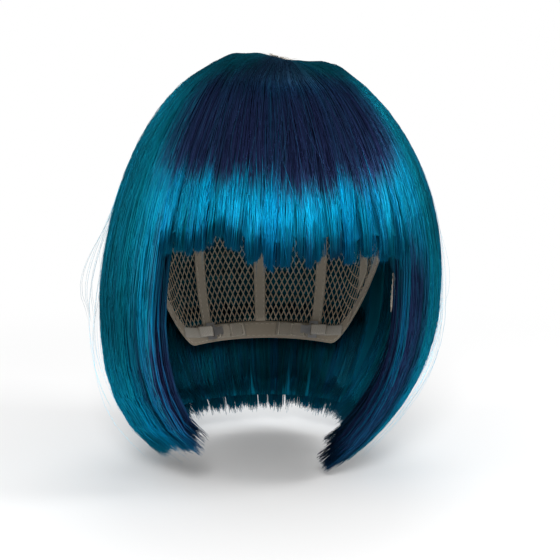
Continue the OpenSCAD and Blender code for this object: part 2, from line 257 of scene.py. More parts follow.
@dataclass(frozen=True)
class HairForm:
    """Outer surface of the hair: an oval dome that draws in toward the hem."""

    side: float = 104.0
    front: float = 115.0
    back: float = 112.0
    top: float = 132.0
    widest: float = -18.0
    hem: float = -116.0
    tuck: tuple[float, float, float] = (0.31, 0.43, 0.26)
    power: tuple[float, float, float] = (3.1, 1.95, 2.2)
    cheek: tuple[float, float] = (0.16, 0.05)
    sweep: float = 8.0
    lean: float = 3.0
    rise: float = 15.0
    drop: float = 8.0
    parting: tuple[float, float] = (5.0, -3.0)
    dip: float = 6.4
    dip_at: Span = (14.0, 20.0)
    crest: float = 1.8
    crest_at: Span = (-24.0, 10.0)
    gather: Span = (0.86, 1.0)
    relief: Span = (0.8, 0.97)
    behind: Span = (95.0, 150.0)
    cheek_end: Span = (45.0, 85.0)
    sweep_end: Span = (45.0, 95.0)
    hem_face: Span = (50.0, 92.0)
    hem_step: float = 4.0

    def point(self, az: Array, z: Array) -> Array:
        """Points of the outer surface.

        The plan is an oval. Its share of full size follows a circle's arc above the widest ring and falls by a
        power law below it, with its own draw on the right, the left and the back. The dome leans a little to
        the left. At the crown it gathers round the parting, where it dips, and crests beside that on the right.

        Args:
            az: Azimuths at the root.
            z: Heights.

        Returns:
            Points, one for each pair.
        """
        az, z = np.broadcast_arrays(np.asarray(az, float), np.asarray(z, float))
        a = from_face(az)
        right = np.sin(np.radians(az)) < 0
        behind = ease(*self.behind, a)
        up = np.clip((z - self.widest) / (self.top - self.widest), 0, 1)
        down = np.clip((self.widest - z) / (self.widest - self.hem), 0, 1.3)
        draw = lerp(np.where(right, self.tuck[0], self.tuck[1]), self.tuck[2], behind)
        draw = draw + np.where(right, self.cheek[0], self.cheek[1]) * (1 - ease(*self.cheek_end, a))
        power = lerp(np.where(right, self.power[0], self.power[1]), self.power[2], behind)
        r = np.where(z > self.widest, np.sqrt(np.clip(1 - up**2, 0, 1)), 1 - draw * down**power)
        swept = self.sweep * (1 - ease(*self.sweep_end, a)) * down**2
        turn = np.radians(az + np.where(right, swept, 0))
        deep = np.where(np.cos(turn) > 0, self.front, self.back)
        near = ease(*self.gather, up)
        x = r * self.side * np.sin(turn) + 4 * self.lean * up * (1 - up) + self.parting[0] * near
        y = -r * deep * np.cos(turn) + self.parting[1] * near
        relief = self.crest * hump(x, *self.crest_at) - self.dip * hump(x, *self.dip_at)
        relief = relief * ease(*self.relief, up)
        return np.stack([x, y, z + relief], -1)

    def at(self, az: Array, z: Array, depth: Array | float) -> tuple[Array, Array]:
        """Points at a depth under the outer surface, with its outward normals.

        Args:
            az: Azimuths at the root.
            z: Heights.
            depth: Distances in from the surface.

        Returns:
            Points and unit normals.
        """
        out = normals(self.point, az, z, self.top)
        return self.point(az, z) - out * np.asarray(depth, float)[..., None], out

    def run(self) -> tuple[Array, Array]:
        """Length down the hair from the crown and the height it reaches, as two matched tables."""
        angle = np.linspace(0, math.pi / 2, 240)
        z = np.concatenate([self.widest + (self.top - self.widest) * np.cos(angle),
                            np.linspace(self.widest, self.hem - 20, 120)[1:]])
        r = np.hypot(*np.moveaxis(self.point(np.full_like(z, 60.0), z)[:, :2], -1, 0))
        length = np.concatenate([[0], np.cumsum(np.hypot(np.diff(z), np.diff(r)))])
        return length, z

    def hem_at(self, zone: Zone, az: Array) -> Array:
        """Height of the cut edge of a zone at each azimuth."""
        a = from_face(az)
        near_face = 1 - ease(*self.hem_face, a)
        if zone is Zone.RIGHT:
            return self.hem + self.rise * near_face
        if zone is Zone.LEFT:
            return self.hem + self.hem_step - self.drop * near_face
        return np.full_like(a, self.hem + self.hem_step)


def put_mesh(name: str, points: Array, quads: Array, tris: Array | None = None,
             flip: bool = False) -> bpy.types.Object:
    """Makes a smooth mesh object at the origin from whole arrays.

    Args:
        name: Name of the piece.
        points: Vertices in millimetres, (n, 3).
        quads: Four indices a face, (m, 4).
        tris: Three indices a face, (k, 3), or None.
        flip: Whether to turn every face round, for a mirrored shape.

    Returns:
        The new object.
    """
    tris = np.zeros((0, 3), int) if tris is None else tris
    if flip:
        quads, tris = quads[:, ::-1], tris[:, ::-1]
    mesh = bpy.data.meshes.new(name)
    mesh.vertices.add(len(points))
    mesh.vertices.foreach_set("co", (points * MM).astype(np.float32).ravel())
    mesh.loops.add(quads.size + tris.size)
    mesh.loops.foreach_set("vertex_index", np.concatenate([quads.ravel(), tris.ravel()]).astype(np.int32))
    count = len(quads) + len(tris)
    mesh.polygons.add(count)
    start = np.concatenate([np.arange(len(quads)) * 4, quads.size + np.arange(len(tris)) * 3])
    mesh.polygons.foreach_set("loop_start", start.astype(np.int32))
    mesh.polygons.foreach_set("use_smooth", np.ones(count, bool))
    mesh.update(calc_edges=True)
    mesh.validate()
    thing = bpy.data.objects.new(name, mesh)
    bpy.context.scene.collection.objects.link(thing)
    return thing


def put_map(thing: bpy.types.Object, name: str, per_loop: Array) -> None:
    """Gives a mesh a UV map from an array with one pair for each face corner."""
    layer = thing.data.uv_layers.new(name=name)
    layer.data.foreach_set("uv", per_loop.astype(np.float32).ravel())


def put_colour(thing: bpy.types.Object, name: str, per_vertex: Array) -> None:
    """Gives a mesh a colour for each vertex, (n, 3)."""
    layer = thing.data.attributes.new(name, "FLOAT_COLOR", "POINT")
    rgb = np.concatenate([per_vertex, np.ones((len(per_vertex), 1))], 1)
    layer.data.foreach_set("color", rgb.astype(np.float32).ravel())


def slab(name: str, mid: Array, out: Array, half: Array, size: Array, flip: bool = False,
         colour: Array | None = None) -> bpy.types.Object:
    """Makes a closed sheet of cloth from a grid of points; both faces stand half the thickness off it.

    Args:
        name: Name of the piece.
        mid: Middle surface, (n, m, 3), columns along the sheet and rows across it.
        out: Unit normals, (n, m, 3).
        half: Half thickness at each point, (n, m).
        size: Place on the flat sheet in millimetres, (n, m, 2), kept as the map "cloth".
        flip: Whether the grid is mirrored.
        colour: Colours for the points, (n, m, 3), or None.

    Returns:
        The mesh object.
    """
    n, m, _ = mid.shape
    off = out * half[..., None]
    points = np.concatenate([(mid + off).reshape(-1, 3), (mid - off).reshape(-1, 3)])
    index = np.arange(n * m).reshape(n, m)
    under = index + n * m
    outer = np.stack([index[:-1, :-1], index[1:, :-1], index[1:, 1:], index[:-1, 1:]], -1).reshape(-1, 4)
    inner = np.stack([under[:-1, :-1], under[:-1, 1:], under[1:, 1:], under[1:, :-1]], -1).reshape(-1, 4)
    loop = np.concatenate([index[:, 0], index[-1, 1:], index[-2::-1, -1], index[0, -2:0:-1]])
    follow = np.roll(loop, -1)
    edge = np.stack([loop, loop + n * m, follow + n * m, follow], -1)
    quads = np.concatenate([outer, inner, edge])
    thing = put_mesh(name, points, quads, flip=flip)
    flat = np.concatenate([size.reshape(-1, 2)] * 2)
    order = quads[:, ::-1] if flip else quads
    put_map(thing, "cloth", flat[order.ravel()])
    if colour is not None:
        put_colour(thing, "fibre", np.concatenate([colour.reshape(-1, 3)] * 2))
    return thing


def rounded(across: Array, blunt: float = 8.0) -> Array:
    """Thickness share over a width from 0 to 1: full in the middle, closing roundly at both edges."""
    return np.sqrt(np.clip(1 - np.abs(2 * across - 1) ** blunt, 0.0, 1)) * 0.97 + 0.03


@dataclass(frozen=True)
class Bundle:
    """Many fibres as arrays: paths, normals and colours (n, k, 3), half widths and half thicknesses (n, k)."""

    path: Array
    normal: Array
    half_width: Array
    half_thick: Array
    colour: Array
    sides: int = 3

    def part(self, keep: slice) -> "Bundle":
        """Some of the fibres."""
        arrays = (self.path, self.normal, self.half_width, self.half_thick, self.colour)
        return Bundle(*(a[keep] for a in arrays), self.sides)

    @property
    def triangles(self) -> int:
        """Triangles in one fibre."""
        return 2 * self.sides * (self.path.shape[1] - 1) + 2 * (self.sides - 2)

    def pieces(self, name: str) -> list[bpy.types.Object]:
        """Makes the fibres as few objects as the triangle limit allows, numbered from 1."""
        most = max(1, MOST_TRIANGLES // self.triangles)
        starts = range(0, len(self.path), most)
        return [self.part(slice(first, first + most)).thing(f"{name}_{i + 1}" if len(starts) > 1 else name)
                for i, first in enumerate(starts)]

    def thing(self, name: str) -> bpy.types.Object:
        """Sweeps a flattened section along every path at once and closes both ends.

        Args:
            name: Name of the piece.

        Returns:
            The mesh object, with its fibre colours, a map "strand" of place across and along each fibre, and a
            map that gives each fibre its own cell.
        """
        n, k, _ = self.path.shape
        m = self.sides
        along = unit(np.gradient(self.path, axis=1))
        across = unit(np.cross(along, self.normal))
        out = np.cross(across, along)
        turn = math.pi / 2 + 2 * math.pi * np.arange(m) / m
        ring = (across[:, :, None] * (np.cos(turn)[:, None] * self.half_width[:, :, None, None])
                + out[:, :, None] * (np.sin(turn)[:, None] * self.half_thick[:, :, None, None]))
        points = (self.path[:, :, None] + ring).reshape(-1, 3)
        i, j, s = np.meshgrid(np.arange(n), np.arange(k - 1), np.arange(m), indexing="ij")
        at = (i * k + j) * m
        s_next = (s + 1) % m
        quads = np.stack([at + s, at + m + s, at + m + s_next, at + s_next], -1).reshape(-1, 4)
        first = np.arange(n)[:, None] * k * m
        last = first + (k - 1) * m
        fan = np.stack([np.zeros(m - 2, int), np.arange(1, m - 1), np.arange(2, m)], -1)
        tris = np.concatenate([(first[:, None] + fan).reshape(-1, 3),
                               (last[:, None] + fan[:, ::-1]).reshape(-1, 3)])
        thing = put_mesh(name, points, quads, tris)
        put_colour(thing, "fibre", np.repeat(self.colour.reshape(-1, 3), m, axis=0))
        put_map(thing, "OFBake", self._cells(i, j, s))
        put_map(thing, "strand", self._strand(i, j, s))
        return thing

    def _strand(self, i: Array, j: Array, s: Array) -> Array:
        """Map corners in sides across, with a step from fibre to fibre, and in tenths of a metre along."""
        n = len(self.path)
        step_across = 3.7
        step = np.linalg.norm(np.diff(self.path, axis=1), axis=-1)
        length = np.concatenate([np.zeros((n, 1)), np.cumsum(step, axis=1)], 1) / 100
        u = step_across * i[..., None] + s[..., None] + CORNERS[:, 0]
        v = length[i[..., None], j[..., None] + CORNERS[:, 1]]
        body = np.stack([u, v], -1).reshape(-1, 2)
        ends = np.stack([step_across * np.arange(n), np.zeros(n)], -1)
        caps = np.repeat(ends, 3 * (self.sides - 2), 0)
        return np.concatenate([body, caps, caps])

    def _cells(self, i: Array, j: Array, s: Array) -> Array:
        """Map corners: fibre i has cell i of a grid, with its length up the cell and its sides across it."""
        n, k, _ = self.path.shape
        m = self.sides
        columns = max(1, math.ceil(math.sqrt(n * 2.5)))
        rows = math.ceil(n / columns)
        u = (s[..., None] + CORNERS[:, 0]) / m
        v = (j[..., None] + CORNERS[:, 1]) / (k - 1)
        u = (i[..., None] % columns + 0.12 + 0.76 * u) / columns
        v = (i[..., None] // columns + 0.06 + 0.88 * v) / rows
        body = np.stack([u, v], -1).reshape(-1, 2)
        f = np.arange(n)
        spot = np.stack([(f % columns + 0.5) / columns, (f // columns + 0.03) / rows], -1)
        wedge = np.tile([[-0.1 / columns, 0], [0.1 / columns, 0], [0, 0.012 / rows]], (m - 2, 1))
        caps = np.concatenate([spot[:, None] + wedge, spot[:, None] + wedge + [0, 0.93 / rows]])
        return np.concatenate([body, caps.reshape(-1, 2)])


def stitches(curve: Array, out: Array, colour: Colour, stitch: float = 2.6, gap: float = 1.0,
             thick: float = 0.22) -> Bundle:
    """A row of thread stitches on a seam: each is a short arch whose ends sink into the cloth.

    Args:
        curve: The seam, (k, 3).
        out: Normals of the cloth's seen face along it, (k, 3).
        colour: Thread colour.
        stitch: Length of a stitch.
        gap: Gap between stitches.
        thick: Radius of the thread.

    Returns:
        The stitches as fibres of five points.
    """
    length = run_along(curve)
    starts = np.arange(0.5, max(length[-1] - stitch, 0.6), stitch + gap)
    places = starts[:, None] + stitch * np.linspace(0, 1, 5)
    path = carried(places, length, curve)
    normal = unit(carried(places, length, out))
    arch = thick * np.array([-0.8, 0.6, 0.9, 0.6, -0.8])
    width = np.full(places.shape, thick) * np.array([0.7, 1, 1, 1, 0.7])
    path = path + normal * arch[:, None]
    return Bundle(path, normal, width, width, np.broadcast_to(np.array(colour), path.shape), 6)


@dataclass(frozen=True)
class Dye:
    """Fibre colours in linear light and how they are laid over the hair, with painted highlight and painted
    shade.

    A pair of azimuths or heights is where a change from one look to the next begins and ends.
    """

    teal: Colour = (0.0012, 0.105, 0.145)
    blue: Colour = (0.0012, 0.090, 0.215)
    # cyan is the colour of the painted highlight over the fringe; it also tints a lock low on the right.
    cyan: Colour = (0.0008, 0.232, 0.400)
    navy: Colour = (0.0112, 0.0128, 0.0470)
    spread: float = 0.26
    lot_spread: float = 0.22
    light_spread: float = 0.12
    contrast: float = 2.4
    # Where the painted highlight band over the fringe lies, and how ragged its upper edge is.
    band_low: float = 53.0
    band_rag: Span = (3.0, 2.5)
    band_edge: Span = (-4.0, 5.0)
    fringe_end: Span = (40.0, 66.0)
    low_hair: Span = (0.0, 30.0)
    crest: Span = (108.0, 124.0)
    # Heights over which painted shade darkens the crown.
    crown: Span = (98.0, 120.0)
    face_edge: Span = (46.0, 51.0)
    face_drop: Span = (0.0, -20.0)
    left_stripe: Span = (49.0, 5.5)
    right_stripe: Span = (64.5, 3.2)
    right_lock: Span = (56.0, 6.5)
    lock_drop: Span = (-66.0, -92.0)

    def band_top(self, az: Array) -> Array:
        """Upper edge of the painted highlight band over the fringe, higher toward both temples than in the
        middle.
        """
        return self.band_low + 7 * ease(6, -20, az) + 14 * ease(30, 55, az)

    def shade(self, az: Array, z: Array, depth: Array, lot: Array, rng: np.random.Generator) -> Array:
        """Colour of each point of each fibre.

        Navy leads over the upper front and, as painted shade, in the lower layers; a painted highlight of
        bright blue lies in a band over the fringe; teal round the rim, at the sides and behind. Every lot of
        fibres, and every fibre, leans a little to one dye, and the colour is multiplied by painted light and
        shade.

        Args:
            az: Azimuth of the points, (n, k).
            z: Height of the points, (n, k).
            depth: Depth under the outer surface, (n, k).
            lot: Normal variates shared by the fibres of a clump, (n, 4).
            rng: Source of the differences from fibre to fibre.

        Returns:
            Linear colours, (n, k, 3).
        """
        n = len(az)
        own = rng.normal(0, self.spread, (n, 4, 1)) + self.lot_spread * lot[..., None]
        # Ragged upper edge of the painted highlight band, and each point's height over it.
        ragged = self.band_rag[0] * lot[:, :1] + rng.normal(0, self.band_rag[1], (n, 1))
        over = z + ragged - self.band_top(az)
        weight = np.exp(self.contrast * (self.leads(az, z, depth, over, lot) + np.moveaxis(own, 1, 2)))
        weight /= weight.sum(-1, keepdims=True)
        colour = weight @ np.array([self.teal, self.blue, self.cyan, self.navy])
        # Random tone from fibre to fibre, times the painted light and shade.
        light = np.exp(rng.normal(0, self.light_spread, (n, 1))) * self.light(az, z, depth)
        return colour * light[..., None]

    def leads(self, az: Array, z: Array, depth: Array, over: Array, lot: Array) -> Array:
        """How strongly each dye leads at each point.

        Args:
            az: Azimuth of the points, (n, k).
            z: Height of the points, (n, k).
            depth: Depth under the outer surface, (n, k).
            over: Height over the ragged upper edge of the painted highlight band, (n, k).
            lot: Normal variates shared by the fibres of a clump, (n, 4).

        Returns:
            Leads of teal, blue, cyan and navy, (n, k, 4).
        """
        a, left = from_face(az), np.sin(np.radians(az)) > 0
        ahead = 1 - ease(*self.fringe_end, a)
        above = ease(*self.band_edge, over)
        below = ahead * (1 - above)
        low = 1 - ease(*self.low_hair, z)
        crest = ease(*self.crest, z) * ease(0, 50, a)
        edge = (1 - ease(*self.face_edge, a)) * ease(0.8, 2.5, depth) * ease(*self.face_drop, z)
        stripe = 0.5 * hump(a, *self.right_stripe) * ease(-75, -35, z)
        corner = 0.85 * (1 - ease(48, 55, a)) * ease(-20, -50, z)
        dark = np.where(left, 1.5 * hump(a, *self.left_stripe), stripe + corner)
        lock = np.where(left, 0.0, hump(a, *self.right_lock)) * ease(*self.lock_drop, z)
        # Painted highlight: bright blue and cyan in a band over the fringe, fading toward its hem.
        bright = below * np.where(left, 1 - 0.7 * ease(16, 34, a), 1 - ease(27, 42, a))
        # Painted shade: navy in some lots toward the hem of the fringe.
        dark_lots = ahead * ease(-16, -31, over) * np.clip(lot[:, 2:3], 0, 1.6)
        temple = np.where(left, 0.25, 0.55) * below * ease(20, 38, a)
        # The depth term paints shade within the hair.
        navy = (0.10 + 2.3 * ahead * above * (1 - crest) + 0.55 * ease(2, 9, depth)
                + 1.25 * low * dark * (1 - lock) + 0.30 * edge + 0.25 * low * ahead + 0.7 * dark_lots)
        cyan = -0.1 + 1.3 * bright * ease(-34, -14, over) + 1.7 * lock
        blue = 0.40 + 0.45 * edge + 0.55 * below + 0.5 * low * ease(-30, -80, z) + 0.9 * lock
        teal = 0.80 + 0.55 * (1 - ahead) + 1.2 * crest * ahead + temple
        return np.stack([teal, blue, cyan, navy], -1)

    def light(self, az: Array, z: Array, depth: Array) -> Array:
        """Painted light and shade as a factor on the colour: lighter at the face edges and low sides, darker at
        the crown, temples and within.

        Args:
            az: Azimuth of the points, (n, k).
            z: Height of the points, (n, k).
            depth: Depth under the outer surface, (n, k).

        Returns:
            The factor at each point, (n, k).
        """
        a, left = from_face(az), np.sin(np.radians(az)) > 0
        # Painted light at the face edges and on the low sides.
        edge = np.where(left, 0.45, 1.1) * (1 - ease(47, 52, a)) * ease(*self.face_drop, z)
        left_side = 0.6 * ease(53, 60, a) * (1 - ease(*self.low_hair, z))
        right_side = 0.75 * ease(50, 57, a) * ease(-25, -75, z)
        # Painted shade at the crown, within the hair and at the temples.
        crown = 1 - 0.72 * ease(*self.crown, z)
        within = 1 - 0.4 * ease(2, 10, depth)
        temple = 1 - 0.34 * ease(50, 66, a) * ease(-70, -20, z) * (1 - ease(80, 110, z))
        return (1 + edge + np.where(left, left_side, right_side)) * crown * within * temple


@dataclass(frozen=True)
class Growth:
    """How one layer of fibres grows: where, how deep, how it clumps and how it is cut."""

    zone: Zone
    az: Span
    count: int
    depth: Span = (0.0, 4.0)
    root: Span = (1.2, 44.0)
    root_bias: float = 2.0
    root_z: float | None = None
    root_bunch: float = 0.3
    clump: float = 3.4
    pull: float = 0.28
    tip_pull: float = 0.0
    groove: float = 0.4
    chop: float = 2.4
    trim: float = 1.0
    hem_lift: float = 0.0
    wander: float = 0.7
    # Colour factor; above 1 it paints a glint on loose hairs.
    sheen: float = 1.0
    drift: Span = (0.0, 0.0)
    cross: float = 0.0
    half_width: Span = (0.26, 0.48)
    curl: float = 3.0
    lift: float = 0.0
    points: int = 18
    seed: int = 1
    cut: tuple[Span, ...] = ()
    flatness: float = 0.55
    hem_limit: float = 6.0
    proud_limit: float = 1.2

    def grow(self, form: HairForm, dye: Dye) -> Bundle:
        """Lays the fibres down the hair surface.

        A fibre keeps its azimuth, is drawn toward the middle of its clump as it falls, and waves a little. Its
        depth passes from the roots to its own layer and grows toward the edges of its clump, which cuts
        grooves. Loose fibres lift off the surface toward their ends.

        Args:
            form: The outer surface.
            dye: The colours, with their painted highlight, light and shade.

        Returns:
            All fibres of the layer.
        """
        rng = np.random.default_rng(self.seed)
        n = self.count
        lo, hi = self.az
        t = np.linspace(0, 1, self.points)[None]
        t = lerp(t, t**2, self.root_bunch)
        az0 = rng.uniform(lo, hi, n)
        widths = rng.uniform(0.45, 1.55, int((hi - lo) / self.clump * 1.6) + 4) * self.clump
        edges = lo - self.clump + np.cumsum(widths)
        which = np.clip(np.searchsorted(edges, az0), 1, len(edges) - 1)
        centre = 0.5 * (edges[which - 1] + edges[which])
        half = 0.5 * (edges[which] - edges[which - 1])
        own = {key: rng.normal(0, 1, len(edges))[which] for key in ("cut", "sway", "deep", "turn")}
        lot = rng.normal(0, 1, (len(edges), 4))[which]
        share = (az0 - lo) / max(hi - lo, 1e-6)
        drift = lerp(*self.drift, share) + self.cross * rng.normal(0, 1, n)
        pull = ((self.pull * ease(0.25, 1.0, t) + self.tip_pull * ease(0.72, 1.0, t))
                * np.clip(1 + 0.3 * own["turn"], 0.3, 1.2)[:, None])
        wave = rng.uniform(0, 2 * math.pi, (n, 2))
        rate = rng.uniform(0.5, 1.4, (n, 2))
        waving = np.sin(2 * math.pi * rate[:, :1] * t + wave[:, :1]) * ease(0, 0.3, t)
        az = (az0[:, None] + (centre - az0)[:, None] * pull + drift[:, None] * ease(0.35, 0.95, t)
              + 0.8 * own["sway"][:, None] * ease(0.3, 1, t)
              + self.wander * rng.normal(0, 0.6, (n, 1)) * waving)
        length, heights = form.run()
        start = lerp(*self.root, rng.uniform(0, 1, n) ** self.root_bias)
        if self.root_z is not None:
            start = np.interp(-self.root_z, -heights, length) + rng.uniform(-6, 6, n)
        if self.cut:
            hem = np.interp(0.7 * centre + 0.3 * az0, *np.transpose(self.cut))
        else:
            hem = form.hem_at(self.zone, az0)
        end_z = hem + self.hem_lift + self.chop * own["cut"] * 0.7 + rng.normal(0, self.trim, n)
        end = np.interp(-np.maximum(end_z, hem - self.hem_limit), -heights, length)
        down = start[:, None] + (end - start)[:, None] * t
        z = np.interp(down, length, heights)
        layer = lerp(*self.depth, rng.uniform(0, 1, n) ** 1.6)[:, None]
        if self.root_z is None:
            root_depth = 1.0 + 1.6 * ease(4, 20, start) + 0.8 * (1 - ease(10, 26, start))
            depth = layer * ease(0, 0.25, t) + root_depth[:, None] * (1 - ease(0, 0.13, t))
        else:
            depth = np.broadcast_to(layer, z.shape)
        edge = np.clip(np.abs(az0 - centre) / half, 0, 1)
        grooves = (self.groove * edge**2 + 0.3 * own["deep"])[:, None] * ease(0.08, 0.4, t)
        curled = self.curl * ease(0.86, 1.0, t) ** 2 * rng.uniform(0.3, 1.0, (n, 1))
        ripple = 0.3 * np.sin(2 * math.pi * rate[:, 1:] * t + wave[:, 1:]) * ease(0.1, 0.4, t)
        depth = depth + grooves + curled + ripple
        loose = self.lift * rng.uniform(0.35, 1.0, (n, 1)) * ease(0.25, 0.8, t) * (1 - 0.35 * ease(0.8, 1.0, t))
        path, normal = form.at(az, z, np.maximum(depth, -self.proud_limit) - loose)
        taper = (0.35 + 0.65 * ease(0, 0.12, t)) * (1 - 0.72 * ease(0.9, 1, t))
        width = rng.uniform(*self.half_width, (n, 1)) * taper
        # Colour with its painted highlight and shade, times the painted glint.
        colour = dye.shade(az, z, depth, lot, rng) * self.sheen
        return Bundle(path, normal, width, self.flatness * width, colour)


class Sock:
    """A node's output that can be used in sums; each sum adds a Math node."""

    def __init__(self, graph: "Graph", socket: bpy.types.NodeSocket | None) -> None:
        """Keeps the output and the tree it belongs to."""
        self.graph = graph
        self.socket = socket

    def _math(self, operation: str, first: Any, second: Any) -> "Sock":
        """Adds one Math node for two values or sockets."""
        return self.graph.node("ShaderNodeMath", {"operation": operation}, {0: first, 1: second})

    def __add__(self, other: Any) -> "Sock":
        """Sum."""
        return self._math("ADD", self, other)

    __radd__ = __add__

    def __sub__(self, other: Any) -> "Sock":
        """Difference."""
        return self._math("SUBTRACT", self, other)

    def __rsub__(self, other: Any) -> "Sock":
        """Reflected difference."""
        return self._math("SUBTRACT", other, self)

    def __mul__(self, other: Any) -> "Sock":
        """Product."""
        return self._math("MULTIPLY", self, other)

    __rmul__ = __mul__

    def __pow__(self, other: Any) -> "Sock":
        """Power."""
        return self._math("POWER", self, other)

    def sine(self) -> "Sock":
        """Sine of the value in radians."""
        return self._math("SINE", self, 0.0)

    def largest(self, other: Any) -> "Sock":
        """The larger of two values."""
        return self._math("MAXIMUM", self, other)

    def size(self) -> "Sock":
        """The value without its sign."""
        return self._math("ABSOLUTE", self, 0.0)


class Graph:
    """Node tree of one material or world, with one method for any node."""

    def __init__(self, name: str, world: bpy.types.World | None = None) -> None:
        """Starts an empty tree in a new material, or in a world.

        Args:
            name: Name of the new material.
            world: The world to use instead, or None.
        """
        self.owner = world or bpy.data.materials.new(name)
        self.owner.use_nodes = True
        self.tree = self.owner.node_tree
        self.tree.nodes.clear()

    def node(self, kind: str, settings: dict[str, Any] | None = None,
             sockets: dict[Any, Any] | None = None, out: Any = 0) -> Sock:
        """Adds a node.

        Args:
            kind: The node's type.
            settings: Its properties.
            sockets: Values or links for its inputs, by name or number.
            out: The output to return, by name or number.

        Returns:
            The chosen output.
        """
        made = self.tree.nodes.new(kind)
        for key, value in (settings or {}).items():
            setattr(made, key, value)
        for key, value in (sockets or {}).items():
            if isinstance(value, Sock):
                self.tree.links.new(value.socket, made.inputs[key])
            else:
                made.inputs[key].default_value = value
        return Sock(self, made.outputs[out] if len(made.outputs) else None)

    def seen(self) -> Sock:
        """1 where the camera looks straight, by a reflection or through something, and 0 for other light."""
        rays = self.node("ShaderNodeLightPath").socket.node.outputs
        kinds = ("Camera", "Glossy", "Transmission")
        camera, glossy, through = (Sock(self, rays[f"Is {kind} Ray"]) for kind in kinds)
        return camera.largest(glossy).largest(through)

    def noise(self, scale: float, detail: float = 2.0, where: Sock | None = None) -> Sock:
        """Noise from 0 to 1 on Object coordinates or a given vector."""
        where = where or self.node("ShaderNodeTexCoord", out="Object")
        return self.node("ShaderNodeTexNoise", {}, {"Vector": where, "Scale": scale, "Detail": detail}, "Fac")

    def uv(self, name: str, stretch: tuple[float, float] = (1.0, 1.0)) -> Sock:
        """A UV map's vector, scaled along each axis."""
        where = self.node("ShaderNodeUVMap", {"uv_map": name})
        return self.node("ShaderNodeMapping", {}, {"Vector": where, "Scale": (stretch[0], stretch[1], 1.0)})

    def parts(self, vector: Sock) -> tuple[Sock, Sock, Sock]:
        """The three values of a vector."""
        x, y, z = self.node("ShaderNodeSeparateXYZ", {}, {0: vector}).socket.node.outputs
        return Sock(self, x), Sock(self, y), Sock(self, z)

    def mix(self, share: Any, first: Any, second: Any, blend: str = "MIX") -> Sock:
        """Mixes two colours."""
        return self.node("ShaderNodeMix", {"data_type": "RGBA", "blend_type": blend},
                         {"Factor": share, 6: first, 7: second}, 2)

    def bump(self, height: Sock, strength: float, distance: float) -> Sock:
        """A normal bent by a height."""
        return self.node("ShaderNodeBump", {}, {"Height": height, "Strength": strength, "Distance": distance})

    def surface(self, **sockets: Any) -> bpy.types.Material:
        """Closes the tree with a Principled surface; underscores in names stand for spaces."""
        values = {key.replace("_", " "): value for key, value in sockets.items()}
        shader = self.node("ShaderNodeBsdfPrincipled", {}, values)
        self.node("ShaderNodeOutputMaterial", {}, {"Surface": shader})
        return self.owner


def rgba(colour: Sequence[float], light: float = 1.0) -> tuple[float, float, float, float]:
    """A colour with full alpha, made lighter or darker by a factor."""
    return (colour[0] * light, colour[1] * light, colour[2] * light, 1.0)


@dataclass(frozen=True)
class FibreFinish:
    """Glossy synthetic fibre whose dye also tints its highlights."""

    name: str = "hair_fibre"
    metallic: float = 0.85
    rough: Span = (0.24, 0.38)
    gleam: Colour = (0.0, 0.62, 0.80)
    crown: Span = (0.108, 0.122)
    crown_dull: float = 0.45
    streaks: Span = (1.9, 2.2)
    streak_light: Span = (0.45, 1.5)
    streak_share: float = 0.75
    specular: float = 0.25

    def make(self) -> bpy.types.Material:
        """Builds the material from each fibre's colour, which on the hair holds painted highlight and shade,
        and fine streaks that run along it.
        """
        g = Graph(self.name)
        dye = g.node("ShaderNodeAttribute", {"attribute_name": "fibre"}, out="Color")
        streak = g.noise(1.0, 3.0, g.uv("strand", self.streaks))
        dark, light = (rgba(WHITE, share) for share in self.streak_light)
        shade = g.mix(self.streak_share, dye, g.mix(streak, dark, light), "MULTIPLY")
        height = g.parts(g.node("ShaderNodeTexCoord", out="Object"))[2]
        low, high = self.crown
        dull = g.node("ShaderNodeMapRange", {"interpolation_type": "SMOOTHSTEP"},
                      {"Value": height, "From Min": low, "From Max": high, "To Max": self.crown_dull})
        rough = self.rough[0] + (self.rough[1] - self.rough[0]) * streak + dull
        return g.surface(Base_Color=shade, Roughness=rough, Metallic=self.metallic,
                         Specular_IOR_Level=self.specular, Specular_Tint=rgba(self.gleam))


@dataclass(frozen=True)
class ThreadFinish:
    """Spun sewing thread or net cord with a twist, in the colour of each strand."""

    name: str = "thread"
    rough: float = 0.62

    def make(self) -> bpy.types.Material:
        """Builds the material: the twist is a slanting wave over the strand's map."""
        g = Graph(self.name)
        dye = g.node("ShaderNodeAttribute", {"attribute_name": "fibre"}, out="Color")
        u, v, _ = g.parts(g.uv("strand"))
        twist = (u * 2.1 + v * 520.0).sine() * 0.5 + 0.5
        fuzz = g.noise(700.0, 3.0)
        ply = g.mix(twist * 0.7 + fuzz * 0.3, (0.62, 0.60, 0.58, 1.0), rgba(WHITE, 1.12))
        shade = g.mix(0.6, dye, ply, "MULTIPLY")
        return g.surface(Base_Color=shade, Roughness=0.1 * fuzz + self.rough,
                         Normal=g.bump(twist, 0.5, 0.00015))


